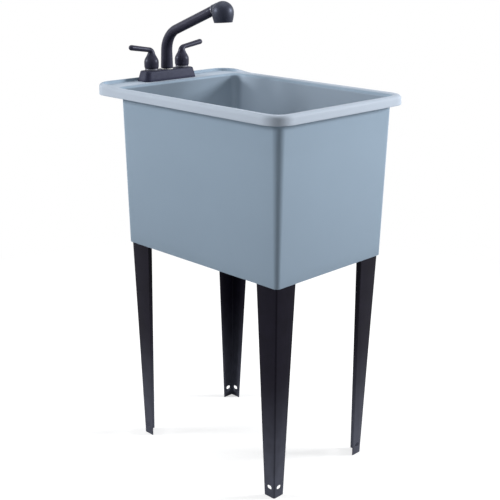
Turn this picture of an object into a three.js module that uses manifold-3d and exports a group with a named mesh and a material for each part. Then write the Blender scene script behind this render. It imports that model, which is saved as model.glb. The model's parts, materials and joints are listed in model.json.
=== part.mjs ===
// Utility laundry sink: moulded tub on four tapered angle legs, with a two-handle pull-out faucet.
// Millimetres, +Z up, floor at z = 0. The user stands at -Y and the faucet deck is at +Y.
import * as THREE from 'three';
import { mergeVertices } from 'three/addons/utils/BufferGeometryUtils.js';
import Module from 'manifold-3d';

const wasm = await Module();
wasm.setup();

// ---- driving dimensions -------------------------------------------------------------------------

// Tub: rim
const RIM_WIDTH = 451;
const RIM_DEPTH = 622;
const RIM_HEIGHT = 925;
const RIM_CORNER_RADIUS = 50;
const RIM_LIP_DROP = 22;
const RIM_LIP_THICKNESS = 4;
const RIM_LIP_DRAFT = 0.5;
const RIM_EDGE_RADIUS = 8;
const RIM_FLAT = 2;
const RIM_ROLL_HEIGHT = 9;
const RIM_PLATE_THICKNESS = 8;
// Tub: deck ledge that carries the faucet, with a low ridge behind it
const DECK_DROP = 2;
const DECK_THICKNESS = 5;
const DECK_LIP_LENGTH = 14;
const DECK_LIP_HEIGHT = 7;
const RIDGE_RISE = 5;
const RIDGE_FLAT = 1.5;
const RIDGE_SLOPE = 3;
// Tub: walls, set back from the rim on each side
const SIDE_OVERHANG = 29.5;
const FRONT_OVERHANG = 24;
const BACK_OVERHANG = 71;
const WALL = 4;
const WALL_CORNER_RADIUS = 22;
const SKIRT_CORNER_RADIUS = 12;
const SKIRT_BOTTOM = 536;
const SIDE_DRAFT = 0.03;
const END_DRAFT = 0.022;
// Tub: basin floor, above the bottom edge of the skirt
const FLOOR_RISE = 46;
const FLOOR_FALL = 8;
const FLOOR_THICKNESS = 5;
const FLOOR_FILLET = 22;
// Legs
const LEG_THICKNESS = 2.2;
const LEG_FLANGE_TOP = 62;
const LEG_FLANGE_FOOT = 31;
const LEG_BEND_RADIUS = 4;
const LEG_INSET = 2;
const LEG_SOCKET_DEPTH = 29;
const LEG_SOCKET_WALL = 4;
const LEG_SOCKET_RECESS = 5;
const SLOT_LENGTH = 14;
const SLOT_HEIGHT = 10;
const SLOT_CENTRE_HEIGHT = 26;
// Drain fitting
const DRAIN_HOLE_RADIUS = 44.5;
const DRAIN_SEAT_DEPTH = 1;
const DRAIN_SEAT_BORDER = 6;
const DRAIN_FLANGE_RADIUS = 56;
const DRAIN_FLANGE_THICKNESS = 2.5;
const DRAIN_CUP_RADIUS = 42.5;
const DRAIN_CUP_DEPTH = 46;
const DRAIN_WALL = 2.2;
const DRAIN_OUTLET_RADIUS = 24;
const DRAIN_OUTLET_LENGTH = 14;
const DRAIN_PORT_RADIUS = 4.5;
const DRAIN_PORT_CIRCLE = 13.5;
const DRAIN_GASKET_THICKNESS = 3;
const FRICTION_WASHER_THICKNESS = 1;
const LOCKNUT_RADIUS = 55;
const LOCKNUT_HEIGHT = 9;
const NUT_LUG_DEPTH = 3;
const TAILPIECE_RADIUS = 19;
const TAILPIECE_WALL = 1.4;
const TAILPIECE_LENGTH = 54;
const TAILPIECE_FLANGE = 3;
const TAILPIECE_WASHER_THICKNESS = 2;
const SLIP_NUT_RADIUS = 27;
const SLIP_NUT_HEIGHT = 18;
const SLIP_NUT_LIP = 2.4;
// Lift-out basket of the drain
const BASKET_RADIUS = 38.5;
const BASKET_FLOOR_RADIUS = 33;
const BASKET_DEPTH = 38;
const BASKET_WALL = 1.6;
const BASKET_HOLE_RADIUS = 2.6;
const BASKET_HOLE_CIRCLE = 22;
const BASKET_SEAL_RADIUS = 29;
const BASKET_SEAL_THICKNESS = 4;
const BASKET_POST_RADIUS = 4;
const BASKET_POST_TAIL = 9;
const BASKET_KNOB_RADIUS = 9;
const BASKET_KNOB_HEIGHT = 7;
// Faucet: place on the deck, base cover and gasket
const FAUCET_SHIFT = -12;
const FAUCET_SETBACK = 36.5;
const VALVE_SPACING = 101.6;
const BASE_LENGTH = 170;
const BASE_DEPTH = 46;
const BASE_HEIGHT = 25;
const BASE_END_TAPER = 8;
const BASE_SIDE_TAPER = 4.5;
const BASE_TOP_CORNER_RADIUS = 11;
const BASE_CORNER_RADIUS = 15;
const BASE_EDGE_RADIUS = 2.5;
const BASE_WALL = 3;
const DECK_GASKET_THICKNESS = 3;
const DECK_HOLE_RADIUS = 16;
// Faucet: waterway, valves, shanks and mounting hardware
const WATERWAY_WIDTH = 22;
const WATERWAY_HEIGHT = 11;
const VALVE_RADIUS = 9.5;
const VALVE_BODY_HEIGHT = 14;
const VALVE_NECK_RADIUS = 7.5;
const VALVE_NECK_HEIGHT = 12.5;
const VALVE_FLOOR = 3;
const VALVE_SOCKET_WALL = 2.5;
const VALVE_SOCKET_HEIGHT = 16.5;
const STEM_RADIUS = 3.6;
const STEM_LENGTH = 22;
const STEM_GRIP = 14;
const BONNET_NUT_RADIUS = 11.5;
const BONNET_NUT_HEIGHT = 4;
const SHANK_RADIUS = 10.2;
const SHANK_BORE_RADIUS = 6.5;
const SHANK_LENGTH = 58;
const MOUNT_WASHER_RADIUS = 21;
const MOUNT_WASHER_THICKNESS = 2;
const MOUNT_NUT_RADIUS = 16;
const MOUNT_NUT_HEIGHT = 11;
// Faucet: collars and lever handles
const COLLAR_RADIUS = 16.6;
const COLLAR_BORE_RADIUS = 12.4;
const COLLAR_HEIGHT = 5;
const HANDLE_FOOT_RADIUS = 17.2;
const HANDLE_BODY_RADIUS = 18.2;
const HANDLE_BODY_HEIGHT = 41.2;
const HANDLE_REACH = 69.5;
const HANDLE_NECK_RADIUS = 9.4;
const LEVER_RADIUS = 6.1;
const LEVER_TIP_RADIUS = 6.8;
const LEVER_RISE_ANGLE = 9;
const HANDLE_CAVITY_RADIUS = 9;
const SET_SCREW_RADIUS = 2;
const SET_SCREW_LENGTH = 9;
// Faucet: spout, its post and seals, and the dock ring
const POST_RADIUS = 9.5;
const POST_BORE_RADIUS = 6.6;
const POST_HEIGHT = 30;
const O_RING_SECTION = 1;
const O_RING_SPACING = 10;
const SPOUT_WASHER_THICKNESS = 1.5;
const RISER_FOOT_RADIUS = 15.5;
const RISER_TOP_RADIUS = 14.3;
const RISER_BORE_RADIUS = 12;
const SPOUT_RADIUS = 12;
const SPOUT_BORE_RADIUS = 10.4;
const SPOUT_BEND_HEIGHT = 111;
const SPOUT_BEND_RADIUS = 60;
const SPOUT_RISE_ANGLE = 21.7;
const SPOUT_REACH = 173;
const DOCK_RING_RADIUS = 13.2;
const DOCK_RING_THICKNESS = 4;
// Faucet: spray head, its neck and its hose
const NECK_RADIUS = 9.6;
const NECK_LENGTH = 30;
const NECK_BORE_RADIUS = 5;
const HOSE_RADIUS = 5.5;
const HOSE_RIDING_LENGTH = 100;
const HEAD_RADIUS = 26.3;
const HEAD_MOUTH_RADIUS = 21.9;
const HEAD_HEIGHT = 50;
const HEAD_WALL = 3;
const HEAD_TILT = 4;
const HEAD_SETBACK = 33.3;
const HEAD_SEAT_SHARE = 0.8;
const HEAD_BOSS_RADIUS = 12.8;
const HEAD_BOSS_LENGTH = 12;
const SPRAY_FACE_THICKNESS = 4;
const SPRAY_FACE_RECESS = 1;
const NOZZLE_RADIUS = 1.4;

// Clearances: between faces that touch, between parts that slide, and the depth of a clean cut
const GAP = 0.3;
const RUNNING_GAP = 0.5;
const CUT = 2;

// ---- colours and finishes -----------------------------------------------------------------------

const FINISHES = {
  tub: { color: 0x94a6b8, roughness: 0.45, metalness: 0 },
  leg: { color: 0x1c1d24, roughness: 0.5, metalness: 0.2 },
  faucet: { color: 0x34333f, roughness: 0.42, metalness: 0.35 },
  ring: { color: 0x9a9da6, roughness: 0.4, metalness: 0.3 },
  head: { color: 0x5a5a68, roughness: 0.3, metalness: 0.5 },
  plastic: { color: 0x202126, roughness: 0.6, metalness: 0 },
  rubber: { color: 0x18181a, roughness: 0.9, metalness: 0 },
  fibre: { color: 0xb9ab8c, roughness: 0.95, metalness: 0 },
  steel: { color: 0xb9bcc0, roughness: 0.3, metalness: 1 },
  brass: { color: 0xb08d4a, roughness: 0.4, metalness: 1 },
  white: { color: 0xe4e4e0, roughness: 0.5, metalness: 0 },
};

// ---- mesh helpers -------------------------------------------------------------------------------

const DEG = Math.PI / 180;
const vec = (x, y, z) => new THREE.Vector3(x, y, z);
const mix = THREE.MathUtils.lerp;

// Indexed geometry with shared corners, no collapsed triangles, and its faces pointing out.
function tidy(geometry) {
  const bare = geometry.clone();
  bare.deleteAttribute('normal');
  bare.deleteAttribute('uv');
  const merged = mergeVertices(bare, 1e-3);
  const at = merged.getAttribute('position');
  const all = merged.index.array;
  const kept = [];
  let volume = 0;
  const [a, b, c] = [vec(), vec(), vec()];
  for (let i = 0; i < all.length; i += 3) {
    const corners = [all[i], all[i + 1], all[i + 2]];
    if (new Set(corners).size < 3) continue;
    kept.push(...corners);
    [a, b, c].forEach((point, k) => point.fromBufferAttribute(at, corners[k]));
    volume += a.dot(b.cross(c));
  }
  if (volume < 0) kept.reverse();
  merged.setIndex(kept);
  return merged;
}

function toSolid(geometry) {
  const shape = tidy(geometry);
  return new wasm.Manifold(new wasm.Mesh({
    numProp: 3,
    vertProperties: new Float32Array(shape.getAttribute('position').array),
    triVerts: new Uint32Array(shape.index.array),
  }));
}

function toGeometry(solid) {
  const mesh = solid.getMesh();
  const geometry = new THREE.BufferGeometry();
  geometry.setAttribute('position', new THREE.BufferAttribute(new Float32Array(mesh.vertProperties), 3));
  geometry.setIndex(new THREE.BufferAttribute(new Uint32Array(mesh.triVerts), 1));
  return geometry;
}

// The first solid with the others joined to it and the cutters then taken out of it.
function carve(bodies, cutters = []) {
  let solid = toSolid(bodies[0]);
  for (const body of bodies.slice(1)) solid = solid.add(toSolid(body));
  for (const cutter of cutters) solid = solid.subtract(toSolid(cutter));
  return toGeometry(solid);
}

// Closed surface through rings that hold the same number of points. An open row of rings is capped
// at both ends, and a loop of rings closes on itself.
function loft(rings, { loop = false } = {}) {
  const count = rings[0].length;
  const points = rings.flat();
  const faces = [];
  const last = loop ? rings.length : rings.length - 1;
  for (let r = 0; r < last; r += 1) {
    const here = r * count;
    const there = ((r + 1) % rings.length) * count;
    for (let i = 0; i < count; i += 1) {
      const j = (i + 1) % count;
      faces.push(here + i, here + j, there + j, here + i, there + j, there + i);
    }
  }
  if (!loop) {
    const centre = ring => ring.reduce((sum, p) => sum.add(p), vec(0, 0, 0)).divideScalar(count);
    const foot = points.push(centre(rings[0])) - 1;
    const head = points.push(centre(rings.at(-1))) - 1;
    const start = (rings.length - 1) * count;
    for (let i = 0; i < count; i += 1) {
      const j = (i + 1) % count;
      faces.push(foot, j, i, head, start + i, start + j);
    }
  }
  const geometry = new THREE.BufferGeometry().setFromPoints(points);
  geometry.setIndex(faces);
  return geometry;
}

// Solid of revolution about a vertical line. The profile holds [radius, height] pairs.
function revolve(profile, x, y, sides = 28) {
  const outline = profile.map(([radius, height]) => new THREE.Vector2(radius, height));
  outline.push(outline[0].clone());
  return new THREE.LatheGeometry(outline, sides).rotateX(Math.PI / 2).translate(x, y, 0);
}

function cylinder(radius, bottom, top, x, y, sides = 28) {
  return revolve([[0, bottom], [radius, bottom], [radius, top], [0, top]], x, y, sides);
}

function tube(bore, radius, bottom, top, x, y, sides = 28) {
  return revolve([[bore, bottom], [radius, bottom], [radius, top], [bore, top]], x, y, sides);
}

// Points of a rounded rectangle, counter-clockwise from above.
function roundedRectangle(halfX, halfY, radius, steps = 6) {
  const points = [];
  const corners = [[1, 1], [-1, 1], [-1, -1], [1, -1]];
  corners.forEach(([sx, sy], quarter) => {
    for (let k = 0; k <= steps; k += 1) {
      const angle = (quarter + k / steps) * Math.PI / 2;
      const [x, y] = [radius * Math.cos(angle), radius * Math.sin(angle)];
      points.push([sx * (halfX - radius) + x, sy * (halfY - radius) + y]);
    }
  });
  return points;
}

function polygon(radius, sides, x = 0, y = 0) {
  return Array.from({ length: sides }, (_, k) => {
    const angle = (k + 0.5) / sides * 2 * Math.PI;
    return [x + radius * Math.cos(angle), y + radius * Math.sin(angle)];
  });
}

// Vertical prism on a flat outline of [x, y] pairs, with holes of the same kind.
function prism(outline, bottom, top, x, y, holes = []) {
  const flat = points => points.map(([px, py]) => new THREE.Vector2(px, py));
  const shape = new THREE.Shape(flat(outline));
  shape.holes = holes.map(hole => new THREE.Path(flat(hole)));
  const options = { depth: top - bottom, bevelEnabled: false };
  return new THREE.ExtrudeGeometry(shape, options).translate(x, y, bottom);
}

// Ring nut seen from above: round lobes stand out of a circle.
function lobedOutline(radius, lugDepth, lobes) {
  const points = [];
  const steps = lobes * 6;
  for (let k = 0; k < steps; k += 1) {
    const angle = k / steps * 2 * Math.PI;
    const reach = radius + lugDepth * Math.max(0, Math.cos(angle * lobes)) ** 0.5;
    points.push([reach * Math.cos(angle), reach * Math.sin(angle)]);
  }
  return points;
}

// Ring of points round a centre line that runs along `along`; `side` is square to it.
function circleAround(centre, along, side, radius, sides) {
  const up = along.clone().cross(side);
  return Array.from({ length: sides }, (_, k) => {
    const angle = k / sides * 2 * Math.PI;
    const point = centre.clone().addScaledVector(side, radius * Math.cos(angle));
    return point.addScaledVector(up, radius * Math.sin(angle));
  });
}

// ---- the shared frame ---------------------------------------------------------------------------

const halfWidth = RIM_WIDTH / 2;
const halfDepth = RIM_DEPTH / 2;
const lipBottom = RIM_HEIGHT - RIM_LIP_DROP;
const deckTop = RIM_HEIGHT - DECK_DROP;
const deckUnderside = deckTop - DECK_THICKNESS;
const floorEdge = SKIRT_BOTTOM + FLOOR_RISE;
const floorCentre = floorEdge - FLOOR_FALL;

// The tub wall's outer face at a height, moved in by an inset.
function wallAt(height, inset = 0) {
  const below = lipBottom - height;
  return {
    half: halfWidth - SIDE_OVERHANG - SIDE_DRAFT * below - inset,
    front: -halfDepth + FRONT_OVERHANG + END_DRAFT * below + inset,
    back: halfDepth - BACK_OVERHANG - END_DRAFT * below - inset,
  };
}

const basin = wallAt(floorEdge, WALL);
const drainY = (basin.front + basin.back) / 2;
const drainSeat = floorCentre - DRAIN_SEAT_DEPTH;
const drainPadBottom = drainSeat - FLOOR_THICKNESS;

const faucetX = FAUCET_SHIFT;
const faucetY = halfDepth - FAUCET_SETBACK;
const baseBottom = deckTop + GAP;
const baseTop = baseBottom + BASE_HEIGHT;
const valvePlaces = [
  { name: 'hot', x: faucetX - VALVE_SPACING / 2, outward: -1 },
  { name: 'cold', x: faucetX + VALVE_SPACING / 2, outward: 1 },
];

const group = new THREE.Group();

function addPart(name, finish, geometry) {
  const mesh = new THREE.Mesh(tidy(geometry), new THREE.MeshStandardMaterial(FINISHES[finish]));
  mesh.name = name;
  group.add(mesh);
}

// ---- tub ----------------------------------------------------------------------------------------

// A level ring round the tub. Its height changes from z to zBack where the sides reach the deck.
const SIDE_STOPS = [0.3, 0.6, 0.88, 0.91, 0.94, 0.97];
const CORNER_STEPS = 6;

function tubRing({ half, front, back, radius, z, zBack = z }) {
  const points = [];
  const put = (x, y, lift) => points.push(vec(x, y, mix(z, zBack, lift)));
  const corner = (quarter, x, y, lift) => {
    for (let k = 0; k <= CORNER_STEPS; k += 1) {
      const angle = (quarter + k / CORNER_STEPS) * Math.PI / 2;
      put(x + radius * Math.cos(angle), y + radius * Math.sin(angle), lift);
    }
  };
  const sidePoint = (x, stop) => {
    const lift = THREE.MathUtils.smoothstep(stop, 0.88, 1);
    put(x, mix(front + radius, back - radius, stop), lift);
  };
  SIDE_STOPS.forEach(stop => sidePoint(half, stop));
  corner(0, half - radius, back - radius, 1);
  put(0, back, 1);
  corner(1, radius - half, back - radius, 1);
  SIDE_STOPS.toReversed().forEach(stop => sidePoint(-half, stop));
  corner(2, radius - half, front + radius, 0);
  put(0, front, 0);
  corner(3, half - radius, front + radius, 0);
  return points;
}

// A ring measured in from the rim's outer face.
function rimRing(inset, z, zBack = z) {
  return tubRing({
    half: halfWidth - inset,
    front: -halfDepth + inset,
    back: halfDepth - inset,
    radius: RIM_CORNER_RADIUS - inset,
    z,
    zBack,
  });
}

function wallRing(height, inset) {
  const t = (height - SKIRT_BOTTOM) / (lipBottom - SKIRT_BOTTOM);
  const radius = mix(SKIRT_CORNER_RADIUS, WALL_CORNER_RADIUS, t) - inset;
  return { ...wallAt(height, inset), radius, z: height };
}

// A ring drawn in towards the drain, which the floor falls to. At share 0 it is a small ring there.
function floorRing(ring, share) {
  const size = mix(DRAIN_HOLE_RADIUS / 2, ring.half, share);
  return tubRing({
    half: size,
    front: mix(drainY - DRAIN_HOLE_RADIUS / 2, ring.front, share),
    back: mix(drainY + DRAIN_HOLE_RADIUS / 2, ring.back, share),
    radius: ring.radius * Math.max(share, 0.5),
    z: ring.z - FLOOR_FALL * (1 - share),
  });
}

function rimOuterRings() {
  const rings = [rimRing(0, lipBottom)];
  const steps = 4;
  for (let k = 0; k <= steps; k += 1) {
    const angle = k / steps * Math.PI / 2;
    const inset = RIM_LIP_DRAFT + RIM_EDGE_RADIUS * (1 - Math.cos(angle));
    const z = RIM_HEIGHT - RIM_EDGE_RADIUS * (1 - Math.sin(angle));
    rings.push(rimRing(inset, z, z + RIDGE_RISE));
  }
  return rings;
}

// From the top of the rim, over the inner edge or over ridge, deck and lip, down to the wall.
function rimInnerRings() {
  const crown = RIM_LIP_DRAFT + RIM_EDGE_RADIUS;
  const flatEnd = crown + RIM_FLAT;
  const ridgeEnd = crown + RIDGE_FLAT;
  const deckStart = ridgeEnd + RIDGE_SLOPE;
  const sideRoll = SIDE_OVERHANG + WALL - flatEnd;
  const frontRoll = FRONT_OVERHANG + WALL - flatEnd;
  const deckEnd = BACK_OVERHANG + WALL - DECK_LIP_LENGTH;
  const ring = (roll, backInset, zBack) => tubRing({
    half: halfWidth - flatEnd - sideRoll * Math.sin(roll),
    front: -halfDepth + flatEnd + frontRoll * Math.sin(roll),
    back: halfDepth - backInset,
    radius: mix(RIM_CORNER_RADIUS - flatEnd, WALL_CORNER_RADIUS - WALL, Math.sin(roll)),
    z: RIM_HEIGHT - RIM_ROLL_HEIGHT * (1 - Math.cos(roll)),
    zBack,
  });
  const first = 20 * DEG;
  const rings = [
    ring(0, ridgeEnd, RIM_HEIGHT + RIDGE_RISE),
    ring(first / 2, deckStart, deckTop),
    ring(first, deckEnd, deckTop),
  ];
  const steps = 5;
  for (let k = 1; k <= steps; k += 1) {
    const lip = k / steps * Math.PI / 2;
    const inset = deckEnd + DECK_LIP_LENGTH * Math.sin(lip);
    const zBack = deckTop - DECK_LIP_HEIGHT * (1 - Math.cos(lip));
    rings.push(ring(mix(first, Math.PI / 2, k / steps), inset, zBack));
  }
  return rings;
}

// From the straight wall round the fillet to the floor's edge.
function filletRings() {
  const rings = [];
  const steps = 5;
  const edge = wallRing(floorEdge + FLOOR_FILLET, WALL);
  for (let k = 0; k <= steps; k += 1) {
    const angle = k / steps * Math.PI / 2;
    const inset = FLOOR_FILLET * (1 - Math.cos(angle));
    rings.push({
      half: edge.half - inset,
      front: edge.front + inset,
      back: edge.back - inset,
      radius: mix(edge.radius, SKIRT_CORNER_RADIUS / 4, k / steps),
      z: floorEdge + FLOOR_FILLET * (1 - Math.sin(angle)),
    });
  }
  return rings;
}

function tubShell() {
  const plateUnderside = RIM_HEIGHT - RIM_PLATE_THICKNESS;
  const underWall = { ...wallRing(plateUnderside, 0), zBack: deckUnderside };
  const undersideEdge = wallRing(floorEdge - FLOOR_THICKNESS, WALL);
  const fillet = filletRings();
  const floor = fillet.at(-1);
  return loft([
    floorRing(undersideEdge, 0),
    floorRing(undersideEdge, 0.5),
    tubRing(undersideEdge),
    tubRing(wallRing(SKIRT_BOTTOM, WALL)),
    tubRing(wallRing(SKIRT_BOTTOM, 0)),
    tubRing(underWall),
    rimRing(RIM_LIP_THICKNESS, plateUnderside, deckUnderside),
    rimRing(RIM_LIP_THICKNESS, lipBottom),
    ...rimOuterRings(),
    ...rimInnerRings(),
    ...fillet.map(tubRing),
    floorRing(floor, 0.5),
    floorRing(floor, 0),
  ]);
}

// ---- legs and their sockets ---------------------------------------------------------------------

const legCorners = [
  { name: 'front_left', sx: -1, end: 'front' },
  { name: 'front_right', sx: 1, end: 'front' },
  { name: 'back_left', sx: -1, end: 'back' },
  { name: 'back_right', sx: 1, end: 'back' },
];
const legTop = SKIRT_BOTTOM + LEG_SOCKET_DEPTH;

function legFlange(height) {
  return mix(LEG_FLANGE_FOOT, LEG_FLANGE_TOP, height / SKIRT_BOTTOM);
}

// Angle bar whose outer faces lie `offset` inside the tub wall's inner face. It runs from one
// flange's edge round the bend to the other's, and each ring spans its height and thickness.
function angleBar(corner, { bottom, top, offset, reach, thickness, bend }) {
  const sign = corner.end === 'front' ? 1 : -1;
  const place = (height, [a, b]) => {
    const wall = wallAt(height, WALL + offset);
    return vec(corner.sx * (wall.half - a), wall[corner.end] + sign * b, height);
  };
  const section = height => {
    const length = reach(height);
    const steps = 4;
    const pairs = [[[0, length], [thickness, length]]];
    for (let k = 0; k <= steps; k += 1) {
      const angle = mix(180, 270, k / steps) * DEG;
      const onBend = radius => [bend + radius * Math.cos(angle), bend + radius * Math.sin(angle)];
      pairs.push([onBend(bend), onBend(bend - thickness)]);
    }
    pairs.push([[length, 0], [length, thickness]]);
    return pairs.map(pair => pair.map(point => place(height, point)));
  };
  const [low, high] = [section(bottom), section(top)];
  return loft(low.map(([outer, inner], k) => [outer, high[k][0], high[k][1], inner]));
}

function leg(corner) {
  const body = angleBar(corner, {
    bottom: 0,
    top: legTop,
    offset: LEG_INSET,
    reach: legFlange,
    thickness: LEG_THICKNESS,
    bend: LEG_BEND_RADIUS,
  });
  const wall = wallAt(SLOT_CENTRE_HEIGHT, WALL + LEG_INSET);
  const middle = legFlange(SLOT_CENTRE_HEIGHT) / 2;
  const sign = corner.end === 'front' ? 1 : -1;
  const outline = roundedRectangle(SLOT_LENGTH / 2, SLOT_HEIGHT / 2, SLOT_HEIGHT / 2 - GAP, 4);
  const cutter = prism(outline, -4 * LEG_THICKNESS, 4 * LEG_THICKNESS, 0, 0).rotateX(Math.PI / 2);
  const inEnd = cutter.clone();
  inEnd.translate(corner.sx * (wall.half - middle), wall[corner.end], SLOT_CENTRE_HEIGHT);
  const inSide = cutter.clone().rotateZ(Math.PI / 2);
  inSide.translate(corner.sx * wall.half, wall[corner.end] + sign * middle, SLOT_CENTRE_HEIGHT);
  return carve([body], [inEnd, inSide]);
}

// Block in each corner of the skirt, grown from the middle of the wall up into the floor.
function legSocket(corner) {
  const outside = WALL / 2 + LEG_INSET;
  const thickness = outside + LEG_THICKNESS + RUNNING_GAP + LEG_SOCKET_WALL;
  return angleBar(corner, {
    bottom: SKIRT_BOTTOM + LEG_SOCKET_RECESS,
    top: floorEdge - FLOOR_THICKNESS / 2,
    offset: -WALL / 2,
    reach: () => outside + legFlange(legTop) + RUNNING_GAP + LEG_SOCKET_WALL,
    thickness,
    bend: thickness + RUNNING_GAP,
  });
}

function legPocket(corner) {
  return angleBar(corner, {
    bottom: SKIRT_BOTTOM - CUT,
    top: legTop + GAP,
    offset: LEG_INSET - RUNNING_GAP,
    reach: height => legFlange(height) + 2 * RUNNING_GAP,
    thickness: LEG_THICKNESS + 2 * RUNNING_GAP,
    bend: LEG_BEND_RADIUS + RUNNING_GAP,
  });
}

function tub() {
  const padRadius = DRAIN_FLANGE_RADIUS + DRAIN_SEAT_BORDER;
  const seatRadius = DRAIN_FLANGE_RADIUS + 2 * RUNNING_GAP;
  const pad = cylinder(padRadius, drainPadBottom, drainSeat, 0, drainY, 40);
  const seat = cylinder(seatRadius, drainSeat, floorEdge, 0, drainY, 40);
  const hole = cylinder(DRAIN_HOLE_RADIUS, drainPadBottom - CUT, floorEdge, 0, drainY, 40);
  const deckHoles = [...valvePlaces.map(place => place.x), faucetX].map(x => (
    cylinder(DECK_HOLE_RADIUS, deckUnderside - CUT, deckTop + CUT, x, faucetY, 24)));
  return carve(
    [tubShell(), pad, ...legCorners.map(legSocket)],
    [seat, hole, ...deckHoles, ...legCorners.map(legPocket)],
  );
}

addPart('tub', 'tub', tub());
for (const corner of legCorners) addPart(`leg_${corner.name}`, 'leg', leg(corner));

// ---- drain --------------------------------------------------------------------------------------

const drainFlangeTop = drainSeat + GAP + DRAIN_FLANGE_THICKNESS;
const cupBottom = drainSeat - DRAIN_CUP_DEPTH;
const cupFloor = cupBottom + DRAIN_WALL;
const cupBore = DRAIN_CUP_RADIUS - DRAIN_WALL;
const outletBottom = cupBottom - DRAIN_OUTLET_LENGTH;

function drainBody() {
  const outletBore = DRAIN_OUTLET_RADIUS - DRAIN_WALL;
  const rim = DRAIN_FLANGE_THICKNESS / 2;
  const cup = revolve([
    [0, cupFloor], [cupBore, cupFloor], [cupBore, drainFlangeTop - rim], [cupBore + rim, drainFlangeTop],
    [DRAIN_FLANGE_RADIUS - rim, drainFlangeTop], [DRAIN_FLANGE_RADIUS, drainFlangeTop - rim],
    [DRAIN_FLANGE_RADIUS, drainSeat + GAP], [DRAIN_CUP_RADIUS, drainSeat + GAP],
    [DRAIN_CUP_RADIUS, cupBottom], [DRAIN_OUTLET_RADIUS, cupBottom],
    [DRAIN_OUTLET_RADIUS, outletBottom], [outletBore, outletBottom],
    [outletBore, cupBottom], [0, cupBottom],
  ], 0, drainY);
  const ports = [cylinder(BASKET_POST_RADIUS + RUNNING_GAP, cupBottom - CUT, cupFloor + CUT, 0, drainY, 16)];
  for (let k = 0; k < 6; k += 1) {
    const angle = k * 60 * DEG;
    const [x, y] = [DRAIN_PORT_CIRCLE * Math.cos(angle), drainY + DRAIN_PORT_CIRCLE * Math.sin(angle)];
    ports.push(cylinder(DRAIN_PORT_RADIUS, cupBottom - CUT, cupFloor + CUT, x, y, 12));
  }
  return carve([cup], ports);
}

function drainHardware() {
  const bore = DRAIN_CUP_RADIUS + GAP;
  const gasketTop = drainPadBottom - GAP;
  const gasketBottom = gasketTop - DRAIN_GASKET_THICKNESS;
  const washerTop = gasketBottom - GAP;
  const washerBottom = washerTop - FRICTION_WASHER_THICKNESS;
  const nutTop = washerBottom - GAP;
  const radius = DRAIN_FLANGE_RADIUS;
  addPart('drain_gasket', 'rubber', tube(bore, radius, gasketBottom, gasketTop, 0, drainY));
  addPart('drain_friction_washer', 'fibre', tube(bore, radius, washerBottom, washerTop, 0, drainY));
  const outline = lobedOutline(LOCKNUT_RADIUS - NUT_LUG_DEPTH, NUT_LUG_DEPTH, 8);
  const hole = polygon(bore + GAP, 28);
  addPart('drain_locknut', 'plastic', prism(outline, nutTop - LOCKNUT_HEIGHT, nutTop, 0, drainY, [hole]));
}

function tailpiece() {
  const washerTop = outletBottom - GAP;
  const washerBottom = washerTop - TAILPIECE_WASHER_THICKNESS;
  const flangeTop = washerBottom - GAP;
  const flangeBottom = flangeTop - TAILPIECE_WALL;
  const bore = TAILPIECE_RADIUS - TAILPIECE_WALL;
  const flangeRadius = TAILPIECE_RADIUS + TAILPIECE_FLANGE;
  addPart('tailpiece_washer', 'white', tube(bore + GAP, flangeRadius, washerBottom, washerTop, 0, drainY));
  addPart('tailpiece', 'plastic', revolve([
    [bore, flangeTop], [flangeRadius, flangeTop], [flangeRadius, flangeBottom],
    [TAILPIECE_RADIUS, flangeBottom], [TAILPIECE_RADIUS, flangeTop - TAILPIECE_LENGTH],
    [bore, flangeTop - TAILPIECE_LENGTH],
  ], 0, drainY));
  const lipTop = flangeBottom - GAP;
  const nutBottom = lipTop - SLIP_NUT_LIP;
  const outline = lobedOutline(SLIP_NUT_RADIUS, NUT_LUG_DEPTH, 8);
  const blank = prism(outline, nutBottom, nutBottom + SLIP_NUT_HEIGHT, 0, drainY);
  addPart('slip_nut', 'plastic', carve([blank], [
    cylinder(TAILPIECE_RADIUS + RUNNING_GAP, nutBottom - CUT, lipTop + CUT, 0, drainY),
    cylinder(DRAIN_OUTLET_RADIUS + RUNNING_GAP, lipTop, nutBottom + SLIP_NUT_HEIGHT + CUT, 0, drainY),
  ]));
}

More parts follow.
